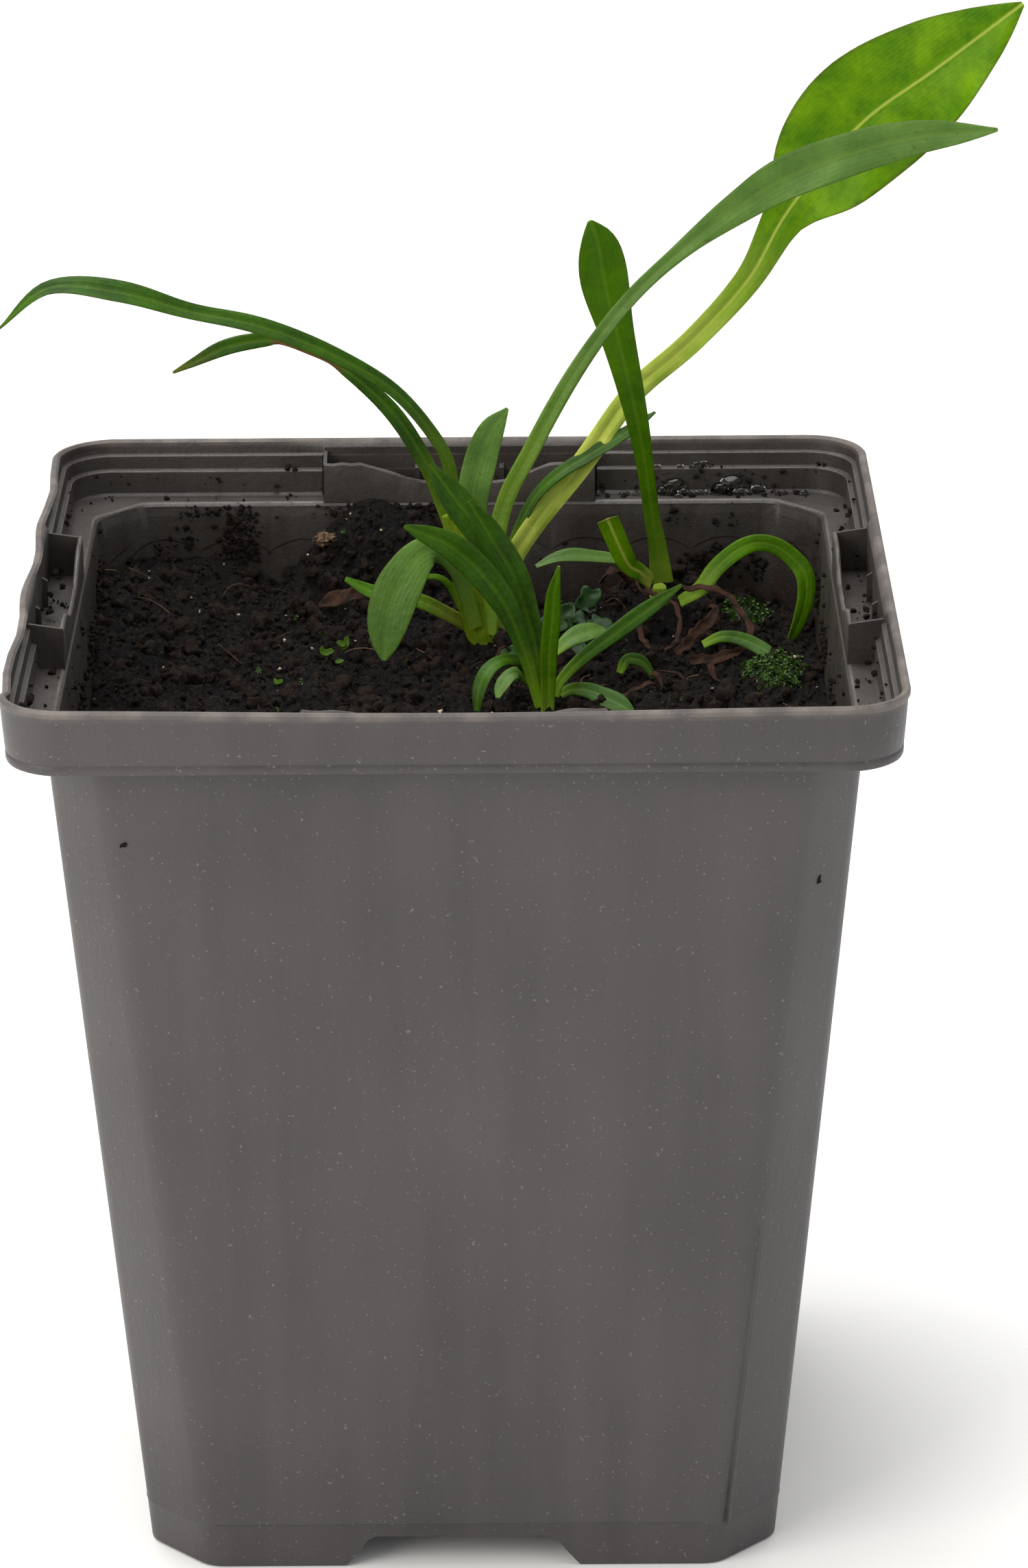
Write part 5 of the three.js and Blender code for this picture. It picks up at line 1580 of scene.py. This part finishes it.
        "path": [(28, 22.6, 87), (26.4, 20.6, 85.9), (24.8, 18, 84.9), (23.6, 15.6, 84.2)],
        "half": [(0, 0.5), (0.5, 0.7), (1, 0.4)],
        "face": [(0, (0.4, -0.7, 0.6)), (1, (0.4, -0.7, 0.6))],
        "thick": 0.4, "fold": 0.2, "skin": "withered",
    },
    "withered_coil": {
        "path": [
            (18.6, 25.2, 89.6), (17.6, 24, 91), (16.3, 23.6, 91.2), (15.4, 23.8, 90), (16, 24.2, 88.8),
            (17.2, 24.2, 88.4),
        ],
        "half": [(0, 0.4), (0.5, 0.6), (1, 0.4)],
        "face": [(0, (0, -0.2, 1)), (1, (0, -0.2, 1))],
        "thick": 0.35, "fold": 0, "skin": "withered",
    },
    "withered_strand_long": {
        "path": [
            (20.2, 26.4, 88.3), (21.8, 24.2, 88), (23.6, 22.6, 87.2), (24, 20, 86.2), (23.4, 17.2, 85),
            (22.2, 16.2, 84.4),
        ],
        "half": [(0, 0.35), (0.5, 0.3), (1, 0.25)],
        "face": [(0, (0, -0.7, 0.7)), (1, (0, -0.7, 0.7))],
        "thick": 0.35, "fold": 0, "skin": "withered",
    },
    "withered_strand_short": {
        "path": [(21.6, 22.4, 87.6), (20, 20.6, 87), (19.6, 18.8, 85.8), (20.6, 16.8, 84.8)],
        "half": [(0, 0.35), (0.5, 0.35), (1, 0.25)],
        "face": [(0, (0, -0.7, 0.7)), (1, (0, -0.7, 0.7))],
        "thick": 0.35, "fold": 0, "skin": "withered",
    },
}

slots = {
    "dark": "leaf_dark", "light": "leaf_light", "broad": "leaf_light", "dull": "leaf_dull", "sheath": "crown",
    "withered": "withered",
}
leafSkins["withered"] = withered


def pieceName(node):
    first, *rest = node.split("_")
    return first + "".join(word.capitalize() for word in rest)


def crinkle(mesh, least):  # dents of half a millimetre, as a leaf gets when it dries
    for vert in mesh.vertices:
        vert.co += noise.noise_vector(vert.co * 900) * least + noise.noise_vector(vert.co * 320) * least


for node, leaf in leaves.items():
    skin = leafSkins[leaf["skin"]]
    mesh = bladeMesh(leaf, skin)
    if leaf["skin"] == "withered":
        crinkle(mesh, 0.00032)
    newPiece(pieceName(node), mesh, skin, slots[leaf["skin"]], node)
print("leaves made")


# ---- Crowns and roots ----
crowns = {
    "crown_main": {"place": (2.8, 19.3, 83.0), "radius": 2.0, "above": 1.3, "roots": 5, "reach": 11},
    "crown_front": {"place": (9.2, 1.4, 82.2), "radius": 1.5, "above": 1.1, "roots": 4, "reach": 9},
    "crown_right": {"place": (22.0, 30.2, 85.8), "radius": 1.6, "above": 1.3, "roots": 4, "reach": 8},
}


def joinMeshes(name, meshes):
    shape = bmesh.new()
    for mesh in meshes:
        shape.from_mesh(mesh)
    joined = bpy.data.meshes.new(name)
    shape.to_mesh(joined)
    shape.free()
    joined.shade_smooth()
    return joined


for node, crown in crowns.items():
    x, y, z = crown["place"]
    radius, above = crown["radius"], crown["above"]
    spindle = {
        "path": [(x, y, z - 14), (x, y, z - 4), (x, y, z), (x, y, z + above)],
        "half": [(0, 0.5), (0.5, radius), (0.85, radius), (1, radius * 0.45)],
        "face": [(0, (0, -1, 0)), (1, (0, -1, 0))], "thick": radius * 3.4, "fold": 0, "rib": 0, "pale": 0,
        "sides": 20,
    }
    parts = [bladeMesh(spindle, leafSkins["sheath"])]
    for i in range(crown["roots"]):
        angle = 0.7 + i / crown["roots"] * 2 * math.pi
        steps = ((0, 3, 1), (0.45, 6, 0.97), (0.9, 18, 0.85), (1, 36, 0.72))
        reach = crown["reach"]
        path = [
            (x * lean + out * reach * math.cos(angle), y * lean + out * reach * math.sin(angle), z - down)
            for out, down, lean in steps
        ]
        root = {
            "path": path, "half": [(0, 0.9), (1, 0.35)], "face": [(0, (0.1, -1, 0.1)), (1, (0.1, -1, 0.1))],
            "thick": 1.8, "fold": 0, "rib": 0, "pale": 1, "sides": 10, "stations": 24,
        }
        parts.append(bladeMesh(root, leafSkins["sheath"]))
    newPiece(pieceName(node), joinMeshes(node, parts), leafSkins["sheath"], "crown", node)
print("crowns made")


# ---- Moss, small lobed leaves and drops ----
def shootShape(seed):  # a moss shoot 1 mm high, with three tiers of pointed leaflets
    rough = random.Random(seed)
    shape = bmesh.new()
    for tier in range(3):
        for k in range(5):
            turn = (k + tier * 0.5) / 5 * 2 * math.pi + rough.uniform(-0.2, 0.2)
            low, reach, rise = 0.25 * tier, 0.5 - 0.1 * tier, 0.35 + 0.1 * tier
            way = Vector((math.cos(turn), math.sin(turn), 0))
            across = Vector((-way.y, way.x, 0)) * 0.11
            base = Vector((0, 0, low))
            middle = base + way * reach * 0.5 + Vector((0, 0, rise * 0.6))
            tip = base + way * reach + Vector((0, 0, rise * 0.7))
            corners = [base, middle + across, tip, middle - across]
            shape.faces.new([shape.verts.new(p * mm) for p in corners])
    return shape


def mossPiece(node, seed):
    shape = bmesh.new()
    shape.from_mesh(frame["nodes"][node].data)
    bmesh.ops.remove_doubles(shape, verts=shape.verts, dist=0.00002)
    bmesh.ops.subdivide_edges(shape, edges=shape.edges, cuts=1, use_grid_fill=True)
    mossy = shape.verts.layers.float.new("mossy")
    centre = sum((v.co for v in shape.verts), Vector()) / len(shape.verts)
    top = max(v.co.z for v in shape.verts)
    tone = shape.verts.layers.float.new("tone")
    for vert in shape.verts:
        vert.co += (vert.co - centre).normalized() * noise.noise(vert.co * 900) * 0.5 * mm
        vert[mossy] = 1 if vert.co.z > centre.z - 0.3 * mm else 0
        vert[tone] = 0.05
    dome = bpy.data.meshes.new("dome")
    shape.to_mesh(dome)
    shape.free()
    bits = bitCollection("mossShoot", [shootShape(s) for s in range(4)])
    values = {
        "Where": "mossy", "Per Square Metre": 5.0e6, "Seed": seed, "Smallest": 0.5, "Largest": 1.35,
        "Tilt": 0.45, "Lift": -0.0001, "Bits": bits, "Material": mossGreen,
    }
    shoots = runTree(strewTree, dome, values)
    dropCollection(bits)
    newPiece(pieceName(node), joinMeshes(node, [dome, shoots]), mossGreen, "moss", node)


for seed, node in enumerate(("moss_right", "moss_behind", "moss_middle")):
    mossPiece(node, seed)
speckBits = [shootShape(s + 9) for s in range(3)]
strew("greenSpecks", soilBed, *strewn["greenSpecks"], speckBits, mossGreen, "moss", 31, tilt=0.5)


def flatLeaf(shape, x, y, z, size, long, lobes, turn, lean):  # a small leaf, crumpled, with a lobed edge
    tilt = Matrix.Rotation(lean, 3, "X") @ Matrix.Rotation(turn, 3, "Z")
    rings = []
    for ring in range(1, 6):
        row = []
        for k in range(30):
            angle = k / 30 * 2 * math.pi
            share = ring / 5
            ragged = 1 + 0.28 * noise.noise(Vector((math.cos(angle) * 1.6 + x, math.sin(angle) * 1.6, z)))
            edge = 1 - (0.3 * abs(math.cos(lobes * angle / 2)) ** 3 if lobes else 0) * share
            reach = size * share * edge * ragged
            place = Vector((reach * math.cos(angle) * long, reach * math.sin(angle), 0.14 * size * share**2))
            place.z += 0.35 * size * share * noise.noise(place * 0.9 + Vector((x, y, 0)))
            row.append(shape.verts.new(at(*(Vector((x, y, z)) + tilt @ place))))
        rings.append(row)
    middle = shape.verts.new(at(x, y, z))
    for k in range(30):
        shape.faces.new((middle, rings[0][k], rings[0][(k + 1) % 30]))
        for a, b in zip(rings, rings[1:]):
            shape.faces.new((a[k], b[k], b[(k + 1) % 30], a[(k + 1) % 30]))


liverwort = [
    # x, y, size, lobes, turn, lean
    (11.0, 27.0, 1.9, 5, 0.3, 0.7), (14.2, 28.5, 1.5, 4, 1.2, 0.9), (13.0, 24.0, 2.0, 5, 2.0, 0.5),
    (10.0, 21.5, 1.7, 4, 0.7, 0.6), (15.5, 24.5, 1.4, 5, 2.6, 0.4), (12.5, 19.5, 1.5, 4, 1.7, 0.8),
    (11.6, 22.6, 1.2, 4, 2.1, 0.9), (5.6, 14.6, 1.2, 4, 0.4, 0.6), (8.4, 16.8, 1.1, 5, 1.9, 0.8),
]
seedlings = [
    # x, y, height of the leaves above the soil, and for each leaf its size, turn and lean
    (-14.6, 16.6, 1.4, ((0.36, 0.3, 1.0), (0.3, 1.9, 1.2))),
    (-12.4, 17.8, 1.8, ((0.36, 1.3, 1.1), (0.28, 2.7, 0.9))), (-13.2, 15.6, 0.8, ((0.24, 0.2, 0.8),)),
    (-19.5, 9.5, 0.7, ((0.24, 0.4, 0.9), (0.2, 1.9, 0.9))),
    (1.5, 24.5, 0.9, ((0.3, 0.9, 0.9),)), (-9.6, 24.0, 0.9, ((0.25, 2.0, 0.8), (0.22, 0.5, 1.1))),
]


def thinPiece(name, shape, thick, material, slot):
    mesh = bpy.data.meshes.new(name)
    shape.to_mesh(mesh)
    shape.free()
    helper = bpy.data.objects.new("helper", mesh)
    bpy.context.scene.collection.objects.link(helper)
    shell = helper.modifiers.new("thickness", "SOLIDIFY")
    shell.thickness = thick * mm
    mesh = bpy.data.meshes.new_from_object(helper.evaluated_get(bpy.context.evaluated_depsgraph_get()))
    bpy.data.objects.remove(helper)
    upper = mesh.attributes.new("upper", "FLOAT", "POINT")
    for item in upper.data:
        item.value = 1
    mesh.shade_smooth()
    return newPiece(name, mesh, material, slot)


shape = bmesh.new()
for x, y, size, lobes, turn, lean in liverwort:
    flatLeaf(shape, x, y, soilAt(x, y) + 0.7, size, 1.25, lobes, turn, lean)
thinPiece("liverwort", shape, 0.16, leafSkins["thallus"], "leaf_dark")

shape = bmesh.new()
for x, y, above, blades in seedlings:
    for size, turn, lean in blades:
        across = size * 1.3
        spot = x + across * math.cos(turn), y + across * math.sin(turn) * 0.5
        flatLeaf(shape, *spot, soilAt(x, y) + above, size, 2.1, 0, turn, lean)
thinPiece("seedlingLeaves", shape, 0.14, leafSkins["dark"], "leaf_dark")


# Scraps of dried leaf and a chip of bark, lying about the plantlets.
scraps = {"count": 20, "seed": 14, "left": 4.0, "right": 29.0, "front": 3.0, "back": 31.0, "thick": 0.25}
chip = {"place": (-15.0, 36.6), "size": 2.1, "lift": 1.0}


def makeScraps():
    rough = random.Random(scraps["seed"])
    parts = []
    for i in range(scraps["count"]):
        x, y = rough.uniform(scraps["left"], scraps["right"]), rough.uniform(scraps["front"], scraps["back"])
        heading, step = rough.uniform(0, 2 * math.pi), rough.uniform(0.7, 1.6)
        path = []
        for k in range(5):
            arch = 0.35 + rough.uniform(0.1, 0.9) * math.sin(k / 4 * math.pi)
            path.append((x, y, soilAt(x, y) + arch))
            x, y = x + step * math.cos(heading), y + step * math.sin(heading)
            heading += rough.uniform(-0.7, 0.7)
        half = rough.uniform(0.12, 0.45)
        scrap = {
            "path": path, "half": [(0, half * 0.4), (0.4, half), (1, half * 0.2)],
            "face": [(0, (rough.uniform(-1, 1), -0.6, 1)), (1, (rough.uniform(-1, 1), -0.4, 1))],
            "thick": scraps["thick"], "fold": 0.4, "stations": 14, "sides": 10, "rib": 0,
        }
        parts.append(bladeMesh(scrap, withered))
    mesh = joinMeshes("scraps", parts)
    crinkle(mesh, 0.00025)
    return newPiece("driedScraps", mesh, withered, "withered")


def makeChip():
    x, y = chip["place"]
    shape = crumbShape(77, 4, 0.6)
    for vert in shape.verts:
        torn = 1 + 0.2 * noise.noise(vert.co * 6000) + 0.2 * noise.noise(vert.co * 14000)
        vert.co = vert.co * chip["size"] * torn + at(x, y, soilAt(x, y) + chip["lift"])
    mesh = bpy.data.meshes.new("chip")
    shape.to_mesh(mesh)
    shape.free()
    mesh.shade_smooth()
    return newPiece("barkChip", mesh, paleBark, "fibre")


makeScraps()
makeChip()

# Drops on the ledge and the lower step at the back right: place and size.
drops = [
    (22.6, 42.0, 94.2, 0.8), (23.8, 42.2, 94.7, 1.15), (25.0, 41.9, 94.1, 0.7), (29.1, 42.1, 94.4, 1.0),
    (30.3, 42.2, 94.9, 1.2), (31.4, 41.8, 94.1, 0.75), (33.4, 42.1, 94.3, 0.8), (27.0, 42.0, 94.1, 0.6),
    (18.4, 41.9, 94.0, 0.6), (19.6, 41.7, 94.0, 0.4), (24.3, 41.0, 94.0, 0.45), (26.3, 42.9, 96.9, 0.75),
    (27.1, 43.0, 97.2, 0.5), (22.0, 43.0, 96.9, 0.4), (24.6, 43.0, 96.9, 0.35), (36.0, 41.8, 94.0, 0.5),
    (38.3, 41.6, 94.0, 0.6), (15.2, 41.6, 94.0, 0.35),
]


def makeDrops():
    shape = bmesh.new()
    for number, (x, y, z, size) in enumerate(drops):
        start = len(shape.verts)
        bmesh.ops.create_icosphere(shape, subdivisions=4, radius=size * mm)
        shape.verts.ensure_lookup_table()
        for vert in shape.verts[start:]:
            wobble = 1 + 0.3 * noise.noise(vert.co * 700 + Vector((number * 5.0, 0, 0)))
            low = max(vert.co.z * 0.8, -0.2 * size * mm)
            vert.co = Vector((vert.co.x * 1.1, vert.co.y * 0.7, low)) * wobble
            vert.co += at(x, y, z + 0.15 * size)
    mesh = bpy.data.meshes.new("drops")
    shape.to_mesh(mesh)
    shape.free()
    mesh.shade_smooth()
    return newPiece("waterDrops", mesh, water, "water")


makeDrops()
print("moss, small leaves, scraps and drops made")
